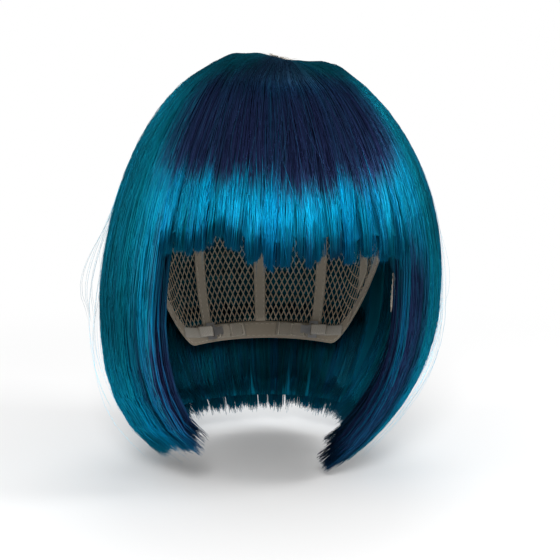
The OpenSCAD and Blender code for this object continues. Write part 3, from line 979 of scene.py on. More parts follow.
@dataclass(frozen=True)
class ClothFinish:
    """Woven ribbon: threads over and under each other, a denser edge and a little handling wear."""

    name: str
    colour: Colour
    pitch: float = 0.9
    rib: float = 1.0
    width: float = HeadForm.band
    rough: float = 0.72
    sheen: float = 0.25

    def make(self) -> bpy.types.Material:
        """Builds the material from the flat place on the ribbon, in millimetres."""
        g = Graph(self.name)
        u, v, _ = g.parts(g.uv("cloth"))
        k = 2 * math.pi / self.pitch
        warp, weft = (u * k).sine(), (v * (k * self.rib)).sine()
        weave = (warp * weft) * 0.5 + 0.5
        soil = g.noise(70.0, 5.0)
        slub = g.noise(1.0, 3.0, g.uv("cloth", (0.25, 2.4)))
        dark, light = rgba(self.colour, 0.62), rgba(self.colour, 1.12)
        shade = g.mix(weave * 0.55 + slub * 0.45, dark, light)
        stained = g.mix(soil * soil, shade, rgba(self.colour, 0.72))
        hem = ((v * (2 / self.width) - 1).size() ** 10) * 0.35
        shade = g.mix(hem, stained, rgba(self.colour, 0.55))
        rough = self.rough + 0.14 * weave
        return g.surface(Base_Color=shade, Roughness=rough, Sheen_Weight=self.sheen,
                         Normal=g.bump(weave + slub * 0.4, 0.55, 0.00022))


@dataclass(frozen=True)
class PlushFinish:
    """Short-pile lining cloth with soft bruised patches."""

    name: str
    colour: Colour

    def make(self) -> bpy.types.Material:
        """Builds the material from pile noise at two scales."""
        g = Graph(self.name)
        pile, nap = g.noise(1500.0, 2.0), g.noise(160.0, 4.0)
        shade = g.mix(pile * 0.5 + nap * 0.5, rgba(self.colour, 0.55), rgba(self.colour, 1.15))
        return g.surface(Base_Color=shade, Roughness=0.75 + 0.2 * nap, Sheen_Weight=0.6,
                         Normal=g.bump(pile + nap * 0.6, 0.6, 0.0003))


@dataclass(frozen=True)
class SkinFinish:
    """Pale matt film with fine pores, a little oily where it was handled."""

    name: str
    colour: Colour

    def make(self) -> bpy.types.Material:
        """Builds the material from a pore pattern and a soft mottle."""
        g = Graph(self.name)
        where = g.node("ShaderNodeTexCoord", out="Object")
        pore = g.node("ShaderNodeTexVoronoi", {}, {"Vector": where, "Scale": 850.0}, "Distance")
        mottle = g.noise(240.0, 4.0)
        shade = g.mix(mottle, rgba(self.colour, 0.86), rgba(self.colour, 1.05))
        shade = g.mix((1 - pore) ** 6 * 0.4, shade, rgba((0.55, 0.40, 0.30)))
        return g.surface(Base_Color=shade, Roughness=0.42 + 0.25 * mottle, Normal=g.bump(pore, 0.25, 0.0002))


@dataclass(frozen=True)
class SteelFinish:
    """Plated sheet steel, brushed one way and rubbed bright in places."""

    name: str
    colour: Colour
    rough: float = 0.28

    def make(self) -> bpy.types.Material:
        """Builds the material from noise drawn out along the brushing."""
        g = Graph(self.name)
        where = g.node("ShaderNodeTexCoord", out="Object")
        drawn = g.node("ShaderNodeMapping", {}, {"Vector": where, "Scale": (900.0, 900.0, 6000.0)})
        brushed, worn = g.noise(1.0, 3.0, drawn), g.noise(350.0, 4.0)
        shade = g.mix(brushed * 0.5 + worn * 0.5, rgba(self.colour, 0.72), rgba(self.colour, 1.18))
        return g.surface(Base_Color=shade, Metallic=1.0, Roughness=self.rough + 0.22 * (brushed * worn * 2),
                         Normal=g.bump(brushed, 0.12, 0.00005))


@dataclass
class Hair:
    """All fibres of the wig, zone by zone, over a mass of hair that fills each zone.

    Where a pair belongs to the mass, its first value is for the fringe and its second for the other zones.
    """

    form: HairForm = field(default_factory=HairForm)
    head: HeadForm = field(default_factory=HeadForm)
    dye: Dye = field(default_factory=Dye)
    seat: float = 4.4
    root_line: Span = (38.0, 4.0)
    panel: float = 12.0
    fringe_panel: Span = (8.0, 4.0)
    mass_start: float = 40.0
    mass_lift: Span = (13.0, 5.0)
    mass_skim: Span = (2.4, 1.9)
    # Depth whose colour the mass takes, which paints shade on it as if under the outer fibres.
    mass_shade: float = 4.0
    fringe_cut: tuple[Span, ...] = (
        (-50, 19), (-41, 16), (-36, 21), (-31, 19), (-27, 23), (-22, 29), (-17, 24), (-14, 15.5), (-11.5, 16),
        (-8.5, 22), (-5, 14), (-2, 15), (2, 17), (12, 16.5), (15.5, 20), (18, 12.5), (21, 12.5), (25, 17),
        (34, 15), (50, 14))

    def inner(self, zone: Zone, az: Span, seed: int, **other: Any) -> Growth:
        """Fibres that fill a zone behind its outer layer."""
        return Growth(zone, az, 500, depth=(3.0, 12.0), root=(60.0, 120.0), points=12, seed=seed, **other)

    def under(self, zone: Zone, az: Span, count: int, seed: int, **other: Any) -> Growth:
        """Fibres of the layer that hangs under a zone."""
        return Growth(zone, az, count, depth=(12.5, 18.5), clump=4.5, seed=seed, **other)

    def strays(self, zone: Zone, az: Span, count: int, seed: int, **other: Any) -> Growth:
        """Single hairs that lie across the others."""
        # Their sheen paints a glint on them.
        return Growth(zone, az, count, depth=(-0.8, 0.0), wander=3.0, half_width=(0.10, 0.18), points=14,
                      sheen=1.7, seed=seed, **other)

    def flyaways(self, zone: Zone, az: Span, count: int, lift: float, seed: int) -> Growth:
        """Fine loose hairs that stand off a side."""
        # Their sheen paints them a lighter cyan: a painted glint.
        return Growth(zone, az, count, depth=(-1.0, 0.0), root=(70.0, 170.0), cross=11.0, wander=6.0, trim=28.0,
                      hem_lift=40.0, half_width=(0.07, 0.11), lift=lift, curl=0.0, sheen=4.0, seed=seed)

    def front_layers(self) -> dict[str, Growth]:
        """The fringe and the hair above it."""
        zone, cut = Zone.FRONT, self.fringe_cut
        return {
            "fibres": Growth(zone, (-50.0, 50.0), 3600, cut=cut, clump=4.4, pull=0.16, tip_pull=0.40,
                             groove=0.2, curl=1.0, chop=2.2, trim=0.9, hem_lift=1.3, points=17, seed=11),
            "inner_fibres": Growth(zone, (-48.0, 48.0), 900, cut=cut, depth=(3.0, 8.0), root=(60.0, 100.0),
                                   clump=4.5, curl=1.0, chop=1.0, hem_lift=2.5, points=10, seed=12),
            "strays": self.strays(zone, (-48.0, 48.0), 130, 13, cut=cut, cross=5.0, chop=6.0),
            "flyaways": Growth(zone, (-50.0, 10.0), 18, cut=((-50.0, 94.0), (10.0, 108.0)), depth=(-0.5, 0.5),
                               root=(4.0, 22.0), cross=14.0, wander=8.0, chop=10.0, half_width=(0.06, 0.10),
                               lift=4.5, curl=0.0, points=12, seed=14),
        }

    def side_layers(self, side: Side) -> dict[str, Growth]:
        """One side's hair; the right has a shorter under layer, fewer loose hairs and a wisp."""
        right = side is Side.RIGHT
        zone = Zone[side.name]
        seed = 21 if right else 31
        layers = {
            "fibres": Growth(zone, side.span(47.0, 121.0), 2700, drift=(0.0, 2.0) if right else (-2.0, 0.0),
                             wander=1.2, chop=1.9, trim=1.8, seed=seed),
            "edge_fibres": Growth(zone, side.span(44.0, 49.0), 330, depth=(0.5, 11.0), root=(90.0, 140.0),
                                  pull=0.2, points=12, seed=seed + 1),
            "inner_fibres": self.inner(zone, side.span(46.0, 120.0), seed + 2),
            "under_fibres": self.under(zone, side.span(50.0, 115.0), 800, seed + 3, root_z=4.0, points=11,
                                       hem_lift=7.0 if right else -2.0),
            "strays": self.strays(zone, side.span(50.0, 115.0), 80, seed + 4, cross=4.0, chop=8.0),
        }
        if right:
            layers["flyaways"] = self.flyaways(zone, side.span(74.0, 112.0), 14, 8.0, seed + 5)
            # The wisp's sheen paints a glint on it.
            layers["wisp"] = Growth(zone, side.span(87.0, 94.0), 6, cut=((-100.0, -26.0), (-80.0, -38.0)),
                                    depth=(-1.0, 0.0), root=(112.0, 128.0), cross=1.5, wander=1.0, lift=15.0,
                                    half_width=(0.10, 0.16), curl=0.0, sheen=4.0, seed=seed + 6)
        else:
            layers["flyaways"] = self.flyaways(zone, side.span(68.0, 112.0), 24, 6.0, seed + 5)
        return layers

    def back_layers(self) -> dict[str, Growth]:
        """The hair behind and the layer at the nape."""
        zone, pull = Zone.BACK, 0.14
        return {
            "fibres": Growth(zone, (119.0, 241.0), 3400, wander=1.1, chop=1.7, trim=1.8, points=16, pull=pull,
                             seed=41),
            "inner_fibres": self.inner(zone, (120.0, 240.0), 42, pull=pull),
            "nape_fibres": self.under(zone, (127.0, 233.0), 900, 43, root_z=-46.0, hem_lift=6.0, points=9,
                                      pull=pull),
            "strays": self.strays(zone, (120.0, 240.0), 100, 44, cross=4.0, chop=8.0),
        }

    def layers(self, zone: Zone) -> dict[str, Growth]:
        """The layers of a zone by the names of their pieces."""
        if zone is Zone.FRONT:
            found = self.front_layers()
        elif zone is Zone.BACK:
            found = self.back_layers()
        else:
            found = self.side_layers(Side[zone.name])
        return {name if name.startswith("nape") else f"{zone.word}_{name}": growth
                for name, growth in found.items()}

    def body(self, zone: Zone) -> bpy.types.Object:
        """The mass of hair behind a zone's fibres.

        Its outer face runs a little under the outer surface. Its inner face lies on the cap down to the root
        line, and below that at the panel's depth, and both close to a thin edge above the cut.

        Args:
            zone: The zone to fill.

        Returns:
            The mesh object.
        """
        columns, rows = 64, 56
        front = zone is Zone.FRONT
        which = 0 if front else 1
        root, lift, skim = self.root_line[which], self.mass_lift[which], self.mass_skim[which]
        angle = np.linspace(*zone.az, columns)[:, None]
        length, heights = self.form.run()
        cut = np.interp(angle, *np.transpose(self.fringe_cut)) if front else self.form.hem_at(zone, angle)
        hem = cut + lift
        t = np.linspace(0, 1, rows)[None]
        down = lerp(self.mass_start, np.interp(-hem, -heights, length), t)
        z = np.interp(down, length, heights)
        angle = np.broadcast_to(angle, z.shape)
        close = ease(0.86, 1.0, t)
        share = np.clip((root - z) / (root - hem), 0, 1)
        thick = lerp(*self.fringe_panel, share) if front else np.full_like(z, self.panel)
        sunk = 3.4 * (1 - ease(self.mass_start, 100, down))
        outer_depth = skim + sunk + (0.45 * thick - skim) * close
        outer, _ = self.form.at(angle, z, outer_depth)
        inner, _ = self.form.at(angle, z, lerp(thick, 0.55 * thick, close))
        s, c = np.sin(np.radians(angle)), np.cos(np.radians(angle))
        deep = np.where(c > 0, self.head.front, self.head.back) + self.seat
        wide = np.where(c > 0, self.form.front, self.form.back)
        across = s * self.form.side / (self.head.half_width + self.seat)
        within = np.degrees(np.arctan2(across, c * wide / deep))
        cap_top = self.head.height + self.seat
        cap_z = lerp(root, cap_top * 0.997, np.clip((z - root) / (self.form.top - root), 0, 1) ** 1.05)
        cap = self.head.at(within, np.minimum(cap_z, cap_top - 0.3), self.seat)
        inner = lerp(inner, cap, ease(root - 7, root + 7, z)[..., None])
        mid, half = 0.5 * (outer + inner), 0.5 * np.linalg.norm(outer - inner, axis=-1)
        size = np.stack([np.radians(angle) * 100 / 0.9, down / 100], -1)
        rng = np.random.default_rng(77)
        lot = rng.normal(0, 0.3, (columns, 4))
        # Coloured as fibres at that depth: painted shade on the mass.
        colour = self.dye.shade(angle, z, np.full_like(z, self.mass_shade), lot, rng)
        thing = slab(f"{zone.word}_hair_body", mid, unit(outer - inner), half, size, colour=colour)
        thing.data.uv_layers["cloth"].name = "strand"
        return thing

    def build(self, finish: bpy.types.Material, mass_finish: bpy.types.Material) -> None:
        """Grows every layer, hides the solids it stands for and gives each piece its material.

        Args:
            finish: The fibre material.
            mass_finish: The material of the hair behind the fibres.
        """
        for zone in Zone:
            mass = self.body(zone)
            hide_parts(*zone.nodes)
            pieces = [(mass, "crown_hair", mass_finish)]
            for name, growth in self.layers(zone).items():
                hidden = any(word in name for word in ("under", "nape", "inner"))
                slot = "under_hair" if hidden else "outer_hair"
                pieces += [(piece, slot, finish) for piece in growth.grow(self.form, self.dye).pieces(name)]
            for piece, slot, coat in pieces:
                piece.data.materials.append(coat)
                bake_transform(piece)
            LOG.info("%s hair: %d pieces", zone.word, len(pieces))


@dataclass
class Cap:
    """The sewn cap: net, crown patch, edge bands, tapes and weft rows."""

    head: HeadForm = field(default_factory=HeadForm)
    net_thick: float = 0.8
    net_lines: int = 120
    net_twist: float = 104.0
    net_cord: float = 0.5
    net_short: float = 0.30
    net_flat: Span = (0.27, 0.27)
    net_area: float = 0.0554
    band_thick: float = 1.4
    band_ends: Span = (66.0, 124.0)
    tape_width: float = 9.0
    tape_thick: float = 0.8
    tape_seat: float = -2.0
    tape_az: tuple[float, ...] = (-146.0, -118.0, -90.0, 90.0, 118.0, 146.0, 180.0)
    skin_radius: float = 13.0
    skin_thick: float = 1.0
    track: float = 3.0
    track_thick: float = 1.5
    weft_seat: float = 1.4
    weft_rows: int = 8
    crown_turns: float = 4.5
    fringe_az: float = 46.0
    cord: Colour = (0.66, 0.58, 0.46)
    thread: Colour = THREAD_DYE
    track_dye: Colour = (0.004, 0.070, 0.095)

    def net(self) -> bpy.types.Object:
        """The stretch net: two families of slanting cords that cross, every other one starting lower down."""
        t = np.linspace(0, 1, 42)[None]
        count = self.net_lines
        first = np.where(np.arange(count) % 2 == 0, 0.0, self.net_short)[:, None]
        t = first + (1 - first) * t
        start = 360.0 * np.arange(count)[:, None] / count
        paths, normals = [], []
        top = self.head.height * 0.9955
        for way in (-1, 1):
            az = start + way * self.net_twist * (t - 0.5)
            low = self.head.rim(az) + self.head.band + self.head.gap
            z = lerp(low, top, np.cos(t * math.pi / 2))
            paths.append(self.head.at(az, z, self.net_thick * (0.5 + 0.12 * way)))
            normals.append(self.head.out(az, z))
        path, normal = np.concatenate(paths), np.concatenate(normals)
        width = np.full(path.shape[:2], self.net_cord)
        rng = np.random.default_rng(5)
        shade = np.array(self.cord) * np.exp(rng.normal(0, 0.07, (len(path), 1, 1)))
        return Bundle(path, normal, width, 0.6 * width, np.broadcast_to(shade, path.shape)).thing("cap_net")

    def patch(self) -> bpy.types.Object:
        """The skin-coloured crown patch: a thin dome turned round the crown axis, with its edge rolled."""
        base = self.head.height + self.net_thick + self.head.gap
        r = np.concatenate([np.linspace(0, 1, 14), [1.012, 1.0], np.linspace(1, 0, 12)[1:]]) * self.skin_radius
        lift = np.concatenate([np.full(13, 1.0), [0.9, 0.5, 0.1], np.zeros(11)]) * self.skin_thick
        sag = self.head.height * (1 - np.sqrt(1 - (r / self.head.front) ** 2))
        n = 48
        side = np.arange(n)
        turn = 2 * math.pi * side / n
        ring_r, ring_z = r[1:-1], (base + lift - sag)[1:-1]
        ring = np.stack([ring_r[:, None] * np.sin(turn), -ring_r[:, None] * np.cos(turn),
                         np.broadcast_to(ring_z[:, None], (len(ring_r), n))], -1).reshape(-1, 3)
        points = np.concatenate([ring, [[0, 0, base + self.skin_thick], [0, 0, base]]])
        j, i = np.meshgrid(np.arange(len(ring_r) - 1), side, indexing="ij")
        nxt = (i + 1) % n
        quads = np.stack([j * n + i, (j + 1) * n + i, (j + 1) * n + nxt, j * n + nxt], -1).reshape(-1, 4)
        after = (side + 1) % n
        last = (len(ring_r) - 1) * n
        crown, under = len(ring), len(ring) + 1
        tris = np.concatenate([np.stack([np.full(n, crown), side, after], -1),
                               np.stack([np.full(n, under), last + after, last + side], -1)])
        return put_mesh("crown_patch", points, quads, tris)

    def knots(self, form: HairForm) -> bpy.types.Object:
        """Pale vent threads set among the first hair in front of the parting.

        Args:
            form: The outer surface of the hair.

        Returns:
            The mesh object.
        """
        rng = np.random.default_rng(9)
        length, heights = form.run()
        n, points = 54, 7
        t = np.linspace(0, 1, points)[None]
        az = rng.normal(0, 26, (n, 1)) + rng.normal(0, 7, (n, 1)) * t
        down = rng.uniform(2.5, 8.0, (n, 1)) + rng.uniform(3, 8, (n, 1)) * t
        depth = 1.6 * (1 - t) ** 2 + 0.2 + rng.uniform(-0.7, 0.4, (n, 1)) * t
        path, normal = form.at(az, np.interp(down, length, heights), depth)
        width = np.full(t.shape, 0.17) * (1 - 0.6 * t) * np.ones((n, 1))
        shade = np.array(self.thread) * np.exp(rng.normal(-0.25, 0.3, (n, 1, 1)))
        colour = np.broadcast_to(shade, path.shape)
        return Bundle(path, normal, width, width, colour).thing("parting_threads")

    def strip(self, name: str, az: Array, top: Array, low: Array, off: float, thick: float) -> bpy.types.Object:
        """A ribbon on the head form between two heights at each azimuth, rounded at its edges.

        Args:
            name: Name of the piece.
            az: Azimuths along the ribbon, (n,).
            top: Upper edge, (n,).
            low: Lower edge, (n,).
            off: Distance of its middle from the form.
            thick: Its thickness.

        Returns:
            The mesh object.
        """
        rows = 13
        v = bunched(rows)
        z = lerp(low[:, None], top[:, None], v[None])
        turn = np.broadcast_to(az[:, None], z.shape)
        mid = self.head.at(turn, z, off)
        out = self.head.out(turn, z)
        along = run_along(mid[:, rows // 2])
        across = np.linalg.norm(mid[:, -1] - mid[:, 0], axis=-1).mean() * v
        size = np.stack(np.broadcast_arrays(along[:, None], across[None]), -1)
        half = 0.5 * thick * rounded(v)[None] * np.ones_like(z)
        return slab(name, mid, out, half, size)

    def seam(self, az: Array, z: Array, off: float) -> Bundle:
        """Stitches along a line on the cap's inner face."""
        curve = self.head.at(az, z, off)
        return stitches(curve, -self.head.out(az, z), self.thread)

    def bands(self, cloth: bpy.types.Material, thread: bpy.types.Material) -> None:
        """The four edge bands, each with two stitched seams."""
        one, two = self.band_ends
        gap, width = self.head.gap, self.head.band
        spans = {"front_band": (-one, one), "left_ear_band": (one + gap, two),
                 "right_ear_band": (-two, -one - gap), "nape_band": (two + gap, 360 - two - gap)}
        for node, (first, last) in spans.items():
            az = np.linspace(first, last, max(24, int((last - first) / 1.6)))
            rim = self.head.rim(az)
            band = self.strip(f"{node}_ribbon", az, rim + width, rim, self.band_thick / 2, self.band_thick)
            dress(band, cloth, "cap", "band", node)
            run = float(run_along(self.head.at(az, rim + width / 2, 0))[-1])
            for share, part in ((0.16, "lower"), (0.84, "upper")):
                sewn = self.seam(az, rim + share * width, 0.0).thing(f"{node}_{part}_seam")
                dress(sewn, thread, "cap", "band")
        LOG.info("bands: %d ribbons", len(spans))

    def tapes(self, cloth: bpy.types.Material, thread: bpy.types.Material) -> None:
        """The vertical tapes inside the net, each sewn down along both edges."""
        half = math.degrees(math.asin(self.tape_width / (2 * self.head.half_width) / 1.1))
        top = self.head.net_edge - self.head.gap
        columns, rows = 11, 40
        v, share = bunched(columns), np.linspace(0, 1, rows)
        thick = 0.5 * self.tape_thick * rounded(v)[None] * rounded(share[:, None] * 0.998 + 0.001, 60.0)
        for i, middle in enumerate(self.tape_az):
            az = middle + half * (2 * v - 1)
            low = self.head.rim(az) + self.head.band + self.head.gap
            z = lerp(top, low[None], share[:, None])
            turn = np.broadcast_to(az[None], z.shape)
            mid = self.head.at(turn, z, self.tape_seat + self.tape_thick / 2)
            out = self.head.out(turn, z)
            along = run_along(mid[:, columns // 2])
            size = np.stack(np.broadcast_arrays(along[:, None], self.tape_width * v[None]), -1)
            tape = slab(f"cap_tape_{i + 1}", mid[:, ::-1], out[:, ::-1], thick, size[:, ::-1])
            dress(tape, cloth, "cap", "tape", f"tape_{i + 1}")
            for edge, part in ((-0.62, "first"), (0.62, "second")):
                seam_az = middle + half * edge
                line = lerp(top - 1.5, self.head.rim(seam_az) + self.head.band + 1.5, share)
                sewn = self.seam(np.full(rows, seam_az), line, self.tape_seat)
                dress(sewn.thing(f"cap_tape_{i + 1}_{part}_seam"), thread, "cap", "tape")
        LOG.info("tapes: %d", len(self.tape_az))

    def weft(self, name: str, az: Array, upper: Array, lower: Array, seat: float) -> bpy.types.Object:
        """A weft head: hair folded over itself as a row of short stubs, drawn in where the thread holds it.

        Args:
            name: Name of the piece.
            az: Azimuths of the stubs, (n,).
            upper: Heights of their upper ends, (n,).
            lower: Heights of their lower ends, (n,).
            seat: Distance of the inner face from the head form.

        Returns:
            The mesh object.
        """
        rng = np.random.default_rng(len(az))
        v = np.linspace(0, 1, 5)[None]
        z = lerp(upper[:, None], lower[:, None], v) + rng.normal(0, 0.12, (len(az), 1))
        turn = np.broadcast_to(az[:, None], z.shape)
        path = self.head.at(turn, z, seat + self.track_thick / 2)
        shade = np.array(self.track_dye) * np.exp(rng.normal(0, 0.35, (len(az), 1, 1)))
        width = np.full(z.shape, 0.62)
        thick = np.full(z.shape, self.track_thick * 0.46) * np.array([0.75, 1.0, 0.82, 1.0, 0.75])
        colour = np.broadcast_to(shade, path.shape)
        return Bundle(path, self.head.out(turn, z), width, thick, colour, 4).thing(name)

    def wefts(self, finish: bpy.types.Material) -> None:
        """All weft rows: one wound round the crown, two over the front band and the rows behind."""
        head, half = self.head, self.track / 2
        spacing, per_degree = 1.05, 1.55
        fringe_stubs, crown_stubs = 150, 1500
        top = head.net_edge - half - head.gap
        bottom = head.band + half + 3 * head.gap - head.nape
        for i in range(self.weft_rows):
            z = lerp(top, bottom, i / (self.weft_rows - 1))
            limit = z - half - head.band - head.gap
            az = np.arange(50.0, 140.0)
            start = float(az[np.argmax(head.rim(az) < limit)])
            count = int((360 - 2 * start) * per_degree / spacing)
            turn = np.linspace(start, 360 - start, count)
            upper, lower = np.full(count, z + half), np.full(count, z - half)
            row = self.weft(f"weft_row_{i + 1}", turn, upper, lower, self.weft_seat)
            dress(row, finish, "cap", "weft", f"back_weft_{i + 1}")
        for word, share in (("upper", 0.75), ("lower", 0.25)):
            turn = np.linspace(-self.fringe_az, self.fringe_az, fringe_stubs)
            z = head.rim(turn) + share * head.band
            row = self.weft(f"{word}_fringe_row", turn, z + half, z - half, self.band_thick + head.gap)
            dress(row, finish, "cap", "weft", f"{word}_fringe_weft")
        step = math.degrees(math.asin(half / head.height))
        first = math.degrees(math.asin((self.skin_radius + self.track) / head.half_width)) + step
        last = math.degrees(math.acos(head.net_edge / head.height)) - 3 * step
        share = np.linspace(0, 1, crown_stubs) ** 0.72
        polar = lerp(first, last, share)
        rise = head.height + self.weft_seat + self.track_thick / 2
        spiral = self.weft("crown_row", 360 * self.crown_turns * share, rise * np.cos(np.radians(polar - step)),
                           rise * np.cos(np.radians(polar + step)), self.weft_seat)
        dress(spiral, finish, "cap", "weft", "crown_weft")
        LOG.info("wefts: %d rows", self.weft_rows + 3)

    def build(self, finishes: dict[str, bpy.types.Material]) -> None:
        """Makes and dresses every piece of the cap.

        Args:
            finishes: Materials by name.
        """
        net = self.net()
        dress(net, finishes["thread"], "cap", "net", "crown_net")
        patch = self.patch()
        dress(patch, finishes["skin"], "cap", "skin", "skin_top")
        dress(self.knots(HairForm()), finishes["thread"], "cap", "skin")
        self.bands(finishes["band"], finishes["thread"])
        self.tapes(finishes["tape"], finishes["thread"])
        self.wefts(finishes["fibre"])


def dress(piece: bpy.types.Object, finish: bpy.types.Material, body: str, slot: str, *nodes: str) -> None:
    """Finishes a piece, lets it ride on a body and hides the solids it stands for."""
    piece.data.materials.append(finish)
    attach(piece, body)
    if nodes:
        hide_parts(*nodes)


@dataclass
class EarTab:
    """A padded tongue in front of one ear with a stitched edge; its stay keeps its own solid."""

    side: Side
    head: HeadForm = field(default_factory=HeadForm)
    az: Span = (68.0, 86.0)
    top: float = 7.2
    length: float = 34.0
    thick: float = 1.8
    fill: float = 0.35
    seam_inset: float = 0.82
    seam_rise: float = 3.2
    seam_sink: float = 0.12
    thread: Colour = THREAD_DYE

    def low(self, t: Array) -> Array:
        """Lower outline of the tongue at a place across it from -1 to 1: half an ellipse."""
        return self.top - self.length * (0.5 + 0.5 * np.sqrt(1 - 0.96 * t * t))

    def build(self, finishes: dict[str, bpy.types.Material]) -> None:
        """Makes the tab as a crowned grid and sews a seam round it on both faces.

        Args:
            finishes: Materials by name.
        """
        middle, half = self.side.value * sum(self.az) / 2, (self.az[1] - self.az[0]) / 2
        t = np.sin(np.linspace(-math.pi / 2, math.pi / 2, 25))
        v = bunched(31)
        z = lerp(self.low(t)[:, None], self.top, v[None])
        az = np.broadcast_to((middle + half * t)[:, None], z.shape)
        mid, out = self.head.at(az, z, self.thick / 2), self.head.out(az, z)
        puff = rounded((t[:, None] + 1) / 2, 4.0) * rounded(v[None], 5.0)
        size = np.stack([self.head.half_width * np.radians(az), z], -1)
        name = f"{self.side.word}_ear_tab"
        tab = slab(f"{name}_pad", mid, out, 0.5 * self.thick * (0.25 + 0.75 * puff), size)
        dress(tab, finishes["plush"], f"{self.side.word}_tab", "tab", name)
        across = np.linspace(-self.seam_inset, self.seam_inset, 60)
        low = self.low(across) + self.seam_rise
        start, count = self.top - 2, 10
        edge_t = np.concatenate([np.full(count, across[0]), across, np.full(count, across[-1])])
        edge_z = np.concatenate([np.linspace(start, low[0], count), low, np.linspace(low[-1], start, count)])
        az = middle + half * edge_t
        for face, off, sign in (("inner", 0.0, -1), ("outer", self.thick, 1)):
            seam = self.head.at(az, edge_z, off - self.seam_sink * sign)
            sewn = stitches(seam, sign * self.head.out(az, edge_z), self.thread)
            dress(sewn.thing(f"{name}_{face}_seam"), finishes["thread"], f"{self.side.word}_tab", "tab")
        LOG.info("%s made", name)


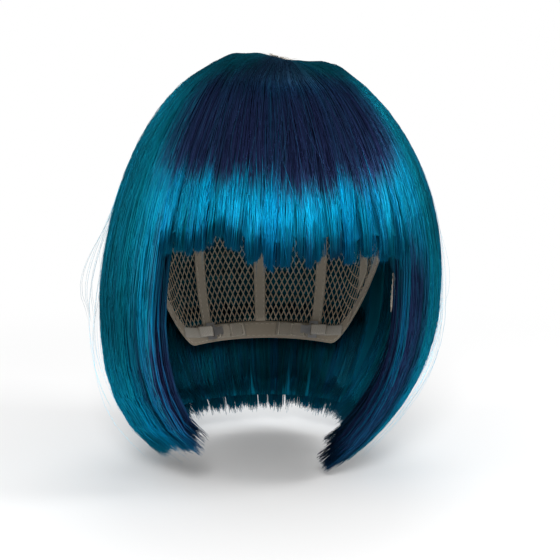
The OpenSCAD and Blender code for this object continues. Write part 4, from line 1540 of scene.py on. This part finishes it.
@dataclass
class NapeAdjuster:
    """Loops on the nape band and the elastic strap that is hooked to one of them."""

    side: Side
    head: HeadForm = field(default_factory=HeadForm)
    loop_az: float = 160.0
    loop_pitch: float = 9.0
    loop_radius: float = 0.6
    tape_width: float = HeadForm.band - 1
    tape_thick: float = 0.8
    seam_z: float = 4.2
    strap_width: float = 7.0
    strap_thick: float = 1.0
    hook_width: float = 5.0
    hook_thick: float = 0.8
    hook_gap: float = 0.5
    tongue: float = 3.5
    cord: Colour = (0.70, 0.63, 0.53)
    thread: Colour = THREAD_DYE

    def __post_init__(self) -> None:
        """Works out the adjuster's own frame: x along the nape, y toward the head, leaning with the band."""
        head = self.head
        self.strap_z = head.band / 2 - head.nape
        self.origin = head.at(self.loop_az, self.strap_z, 0.0)
        step = 0.5
        sideways = [head.at(self.loop_az + turn, self.strap_z, 0.0) for turn in (-step, step)]
        upright = [head.at(self.loop_az, self.strap_z + up, 0.0) for up in (-step, step)]
        along, rise = sideways[1] - sideways[0], upright[1] - upright[0]
        turn, lean = math.atan2(along[1], along[0]), math.atan(math.hypot(rise[0], rise[1]))
        c, s, k, n = math.cos(turn), math.sin(turn), math.cos(lean), math.sin(lean)
        self.axes = np.array([[c, -s, 0], [s, c, 0], [0, 0, 1]]) @ np.array([[1, 0, 0], [0, k, -n], [0, n, k]])
        self.loop_half = self.loop_pitch + 3
        edges = [self.strap_z - head.band / 2, self.strap_z + head.band / 2]
        az, z = np.meshgrid(np.arange(-20, 21) + self.loop_az, edges)
        q = self.local(head.at(az, z, 0.0)).reshape(-1, 3)
        bow = q[np.abs(q[:, 0]) < self.loop_half + 1, 1].max()
        self.loop_face = bow + head.gap + self.tape_thick
        self.loop_y = self.loop_face + 2 * self.hook_gap + self.hook_thick + self.loop_radius
        self.hook_y = self.loop_y + self.loop_radius + self.hook_gap
        self.slot_x = -self.loop_pitch - self.tongue - 1.4
        self.slot_w = self.strap_thick + 2 * self.hook_gap
        self.eye_x = self.slot_x - self.slot_w - 2.8

    def local(self, points: Array) -> Array:
        """Points of the part in the adjuster's frame, on the wearer's left."""
        return (points - self.origin) @ self.axes

    def world(self, points: Array) -> Array:
        """Points of the adjuster's frame in the part, mirrored for the wearer's right."""
        placed = points @ self.axes.T + self.origin
        return placed * np.array([self.side.value, 1, 1])

    def turned(self, vectors: Array) -> Array:
        """Directions of the adjuster's frame in the part."""
        return vectors @ self.axes.T * np.array([self.side.value, 1, 1])

    def strap_line(self) -> Array:
        """Route of the strap in plan: along the band, under the eye, through its slot and back over it."""
        half = self.strap_thick / 2
        low = self.hook_y - self.hook_gap - half
        high = self.hook_y + self.hook_thick + self.hook_gap + half
        mid, bend = self.slot_x - self.slot_w / 2, 0.8
        on_band = self.head.at(np.arange(127.0, 140.0, 3.0), self.strap_z, -2 * self.head.gap - half)
        turned = [[self.eye_x - 1, low + 0.1], [mid - bend, low], [mid, low + bend], [mid, high - bend],
                  [mid - bend, high], [self.eye_x, high + 0.2], [self.eye_x - 7, high + 1.2]]
        knots = np.concatenate([self.local(on_band)[:, :2], turned])
        length = run_along(knots)
        fine = np.linspace(0, length[-1], 90)
        line = carried(fine, length, knots)
        soft = np.array([1, 2, 3, 2, 1]) / 9
        padded = np.concatenate([np.repeat(line[:1], 2, 0), line, np.repeat(line[-1:], 2, 0)])
        return np.stack([np.convolve(column, soft, "valid") for column in padded.T], -1)

    def strap(self) -> bpy.types.Object:
        """The elastic strap: a flat section carried along its route."""
        line = self.strap_line()
        rows = 11
        v = bunched(rows)
        side = np.gradient(line, axis=0)
        normal = unit(np.stack([-side[:, 1], side[:, 0], np.zeros(len(line))], -1))
        height = np.broadcast_to((self.strap_width * (v - 0.5))[None, :, None], (len(line), rows, 1))
        mid = np.concatenate([np.repeat(line[:, None], rows, 1), height], -1)
        out = np.repeat(normal[:, None], rows, 1)
        size = np.stack(np.broadcast_arrays(run_along(line)[:, None], self.strap_width * v[None]), -1)
        half = 0.5 * self.strap_thick * rounded(v)[None] * np.ones((len(line), 1))
        return slab(f"{self.side.word}_elastic_strap", self.world(mid), self.turned(out), half, size,
                    flip=self.side is Side.LEFT)

    def loops(self) -> tuple[bpy.types.Object, bpy.types.Object]:
        """The flat tape and its three cord loops."""
        v, u = bunched(11), np.linspace(-1, 1, 30)
        x, z = np.meshgrid(self.loop_half * u, self.tape_width * (v - 0.5), indexing="ij")
        mid = np.stack([x, np.full_like(x, self.loop_face - self.tape_thick / 2), z], -1)
        out = np.broadcast_to(np.array([0.0, 1.0, 0.0]), mid.shape)
        half = 0.5 * self.tape_thick * rounded(v)[None] * rounded((u[:, None] + 1) / 2, 40.0)
        size = np.stack([x, z + self.tape_width / 2], -1)
        tape = slab(f"{self.side.word}_loop_ribbon", self.world(mid), self.turned(out), half, size,
                    flip=self.side is Side.LEFT)
        reach = self.hook_width / 2 + self.hook_gap + self.loop_radius
        turn = np.linspace(0, math.pi, 25)
        flat_z = np.clip(-1.25 * reach * np.cos(turn), -reach, reach)
        rise = lerp(self.loop_face - 0.3, self.loop_y, np.clip(1.9 * np.sin(turn), 0, 1))
        arch = np.stack([np.zeros_like(turn), rise, flat_z], -1)
        path = self.world(arch[None] + np.array([[[i * self.loop_pitch, 0, 0]] for i in (-1, 0, 1)]))
        normal = self.turned(np.broadcast_to(np.array([1.0, 0, 0]), path.shape))
        width = np.full(path.shape[:2], self.loop_radius)
        shade = np.broadcast_to(np.array(self.cord), path.shape)
        return tape, Bundle(path, normal, width, width, shade, 10).thing(f"{self.side.word}_cord_loops")

    def build(self, finishes: dict[str, bpy.types.Material]) -> None:
        """Makes the strap, loops and their seams; the hook keeps its own solid.

        Args:
            finishes: Materials by name.
        """
        word = self.side.word
        tape, loops = self.loops()
        dress(tape, finishes["loops"], "cap", "loops", f"{word}_loop_tape")
        dress(loops, finishes["thread"], "cap", "loops")
        along = np.linspace(-self.loop_half + 1, self.loop_half - 1, 30)
        seam = np.stack([along, np.full_like(along, self.loop_face), np.zeros_like(along)], -1)
        out = self.turned(np.broadcast_to(np.array([0.0, 1.0, 0.0]), seam.shape))
        for part, z in (("lower", -self.seam_z), ("upper", self.seam_z)):
            sewn = stitches(self.world(seam + [0, 0, z]), out, self.thread)
            dress(sewn.thing(f"{word}_loop_{part}_seam"), finishes["thread"], "cap", "loops")
        strap = self.strap()
        strap.data.materials.append(finishes["elastic"])
        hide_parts(f"{word}_strap")
        sewn_end = self.strap_line()[18]
        ends = self.world(np.array([[*sewn_end, 0.0], [self.eye_x - 2, self.hook_y, 0.0]])) * MM
        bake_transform(strap)
        LOG.info("%s adjuster made", word)


def toward(az: float, rise: float) -> Vector:
    """Direction from the wig at an azimuth and an elevation."""
    a, e = math.radians(az), math.radians(rise)
    return Vector((math.sin(a) * math.cos(e), -math.cos(a) * math.cos(e), math.sin(e)))


def look_at_wig(name: str, data: bpy.types.ID, place: Vector, back: Vector) -> bpy.types.Object:
    """Puts a lamp or camera in the scene.

    Args:
        name: Its name.
        data: The lamp or camera data.
        place: Where it stands.
        back: Direction from the wig to it, which it looks against.

    Returns:
        The new object.
    """
    thing = bpy.data.objects.new(name, data)
    thing.location = place
    thing.rotation_mode = "QUATERNION"
    thing.rotation_quaternion = (-back).to_track_quat("-Z", "Y")
    bpy.context.scene.collection.objects.link(thing)
    return thing


@dataclass(frozen=True)
class Lamp:
    """A square soft lamp that looks at the wig: its place in degrees and metres, its side and its power."""

    name: str
    az: float
    rise: float
    reach: float
    side: float
    power: float

    def put(self) -> None:
        """Makes the lamp."""
        data = bpy.data.lights.new(self.name, "AREA")
        data.size, data.energy = self.side, self.power
        back = toward(self.az, self.rise)
        look_at_wig(self.name, data, back * self.reach, back)


@dataclass
class Studio:
    """Floor, light and camera, in metres."""

    yaw: float = -5.0
    rise: float = 9.0
    distance: float = 0.75
    scale: float = 0.00062
    aim: tuple[float, float, float] = (0.0066, 0.0, -0.010)
    floor_z: float = -0.128
    floor_edge: float = 6.0
    floor_grey: float = 0.86
    floor_fade: Span = (0.16, 0.62)
    world_light: float = 0.50
    lamps: tuple[Lamp, ...] = (
        Lamp("key", -6.0, 29.0, 1.35, 0.34, 11.0), Lamp("left", -78.0, 14.0, 1.2, 0.6, 5.5),
        Lamp("right", 74.0, 24.0, 1.2, 0.45, 7.0), Lamp("rear", 170.0, 56.0, 1.3, 0.8, 4.5))

    def build(self) -> None:
        """Sets the scene that the part is shown in."""
        scene = bpy.context.scene
        scene.view_settings.view_transform = "Standard"
        self._camera(scene)
        self._floor()
        self._world(scene)
        for lamp in self.lamps:
            lamp.put()

    def _camera(self, scene: bpy.types.Scene) -> None:
        """Camera at the angle of the photograph, its lens set by the scale at the ears."""
        back = toward(self.yaw, self.rise)
        data = bpy.data.cameras.new("camera")
        data.sensor_width = SENSOR
        data.lens = self.distance / (self.scale * IMAGE_SIDE) * SENSOR
        data.clip_start, data.clip_end = 0.01, 20.0
        scene.camera = look_at_wig("camera", data, Vector(self.aim) + back * self.distance, back)

    def _floor(self) -> None:
        """A wide pale floor just under the lowest hair; away from the wig it meets the white backdrop."""
        edge, z = self.floor_edge / MM, self.floor_z / MM
        points = np.array([[-edge, -edge, z], [edge, -edge, z], [edge, edge, z], [-edge, edge, z]])
        floor = put_mesh("floor", points, np.array([[0, 1, 2, 3]]))
        g = Graph("floor")
        x, y, _ = g.parts(g.node("ShaderNodeTexCoord", out="Object"))
        away = (x * x + y * y) ** 0.5
        near, far = self.floor_fade
        fade = g.node("ShaderNodeMapRange", {"interpolation_type": "SMOOTHSTEP"},
                      {"Value": away, "From Min": near, "From Max": far})
        plain = g.node("ShaderNodeBsdfDiffuse", {}, {"Color": rgba(WHITE, self.floor_grey)})
        white = g.node("ShaderNodeEmission", {}, {"Color": WHITE, "Strength": 1.0})
        shader = g.node("ShaderNodeMixShader", {}, {0: fade * g.seen(), 1: plain, 2: white})
        g.node("ShaderNodeOutputMaterial", {}, {"Surface": shader})
        floor.data.materials.append(g.owner)

    def _world(self, scene: bpy.types.Scene) -> None:
        """A pale even world that is seen as white."""
        scene.world = bpy.data.worlds.new("world")
        g = Graph("world", scene.world)
        lit = g.node("ShaderNodeBackground", {}, {"Color": WHITE, "Strength": self.world_light})
        shown = g.node("ShaderNodeBackground", {}, {"Color": WHITE, "Strength": 1.0})
        shader = g.node("ShaderNodeMixShader", {}, {0: g.seen(), 1: lit, 2: shown})
        g.node("ShaderNodeOutputWorld", {}, {"Surface": shader})


def main() -> None:
    """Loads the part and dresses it."""
    logging.basicConfig(level=logging.INFO, format="%(name)s %(message)s")
    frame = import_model()
    finishes = {
        "fibre": FibreFinish().make(),
        "mass": FibreFinish("hair_mass", 0.35, (0.55, 0.75)).make(),
        "thread": ThreadFinish().make(),
        "band": ClothFinish("edge_ribbon", (0.62, 0.53, 0.41)).make(),
        "tape": ClothFinish("stretch_tape", (0.64, 0.56, 0.44), pitch=0.8, rib=0.6,
                            width=Cap.tape_width).make(),
        "loops": ClothFinish("loop_ribbon", (0.66, 0.59, 0.49), pitch=0.7,
                             width=NapeAdjuster.tape_width).make(),
        "elastic": ClothFinish("ribbed_elastic", (0.70, 0.65, 0.57), pitch=1.3, rib=0.35,
                               width=NapeAdjuster.strap_width, rough=0.6).make(),
        "plush": PlushFinish("tab_plush", (0.62, 0.53, 0.41)).make(),
        "skin": SkinFinish("crown_film", (0.80, 0.69, 0.55)).make(),
        "steel": SteelFinish("plated_steel", (0.60, 0.60, 0.62)).make(),
        "stay": SteelFinish("stay_strip", (0.38, 0.39, 0.41), 0.36).make(),
    }
    for side in Side:
        for node, finish in ((f"{side.word}_hook", "steel"), (f"{side.word}_ear_stay", "stay")):
            frame["nodes"][node].data.materials.clear()
            frame["nodes"][node].data.materials.append(finishes[finish])
    Studio().build()
    Hair().build(finishes["fibre"], finishes["mass"])
    Cap().build(finishes)
    for side in Side:
        EarTab(side).build(finishes)
        NapeAdjuster(side).build(finishes)


if __name__ == "__main__":
    main()
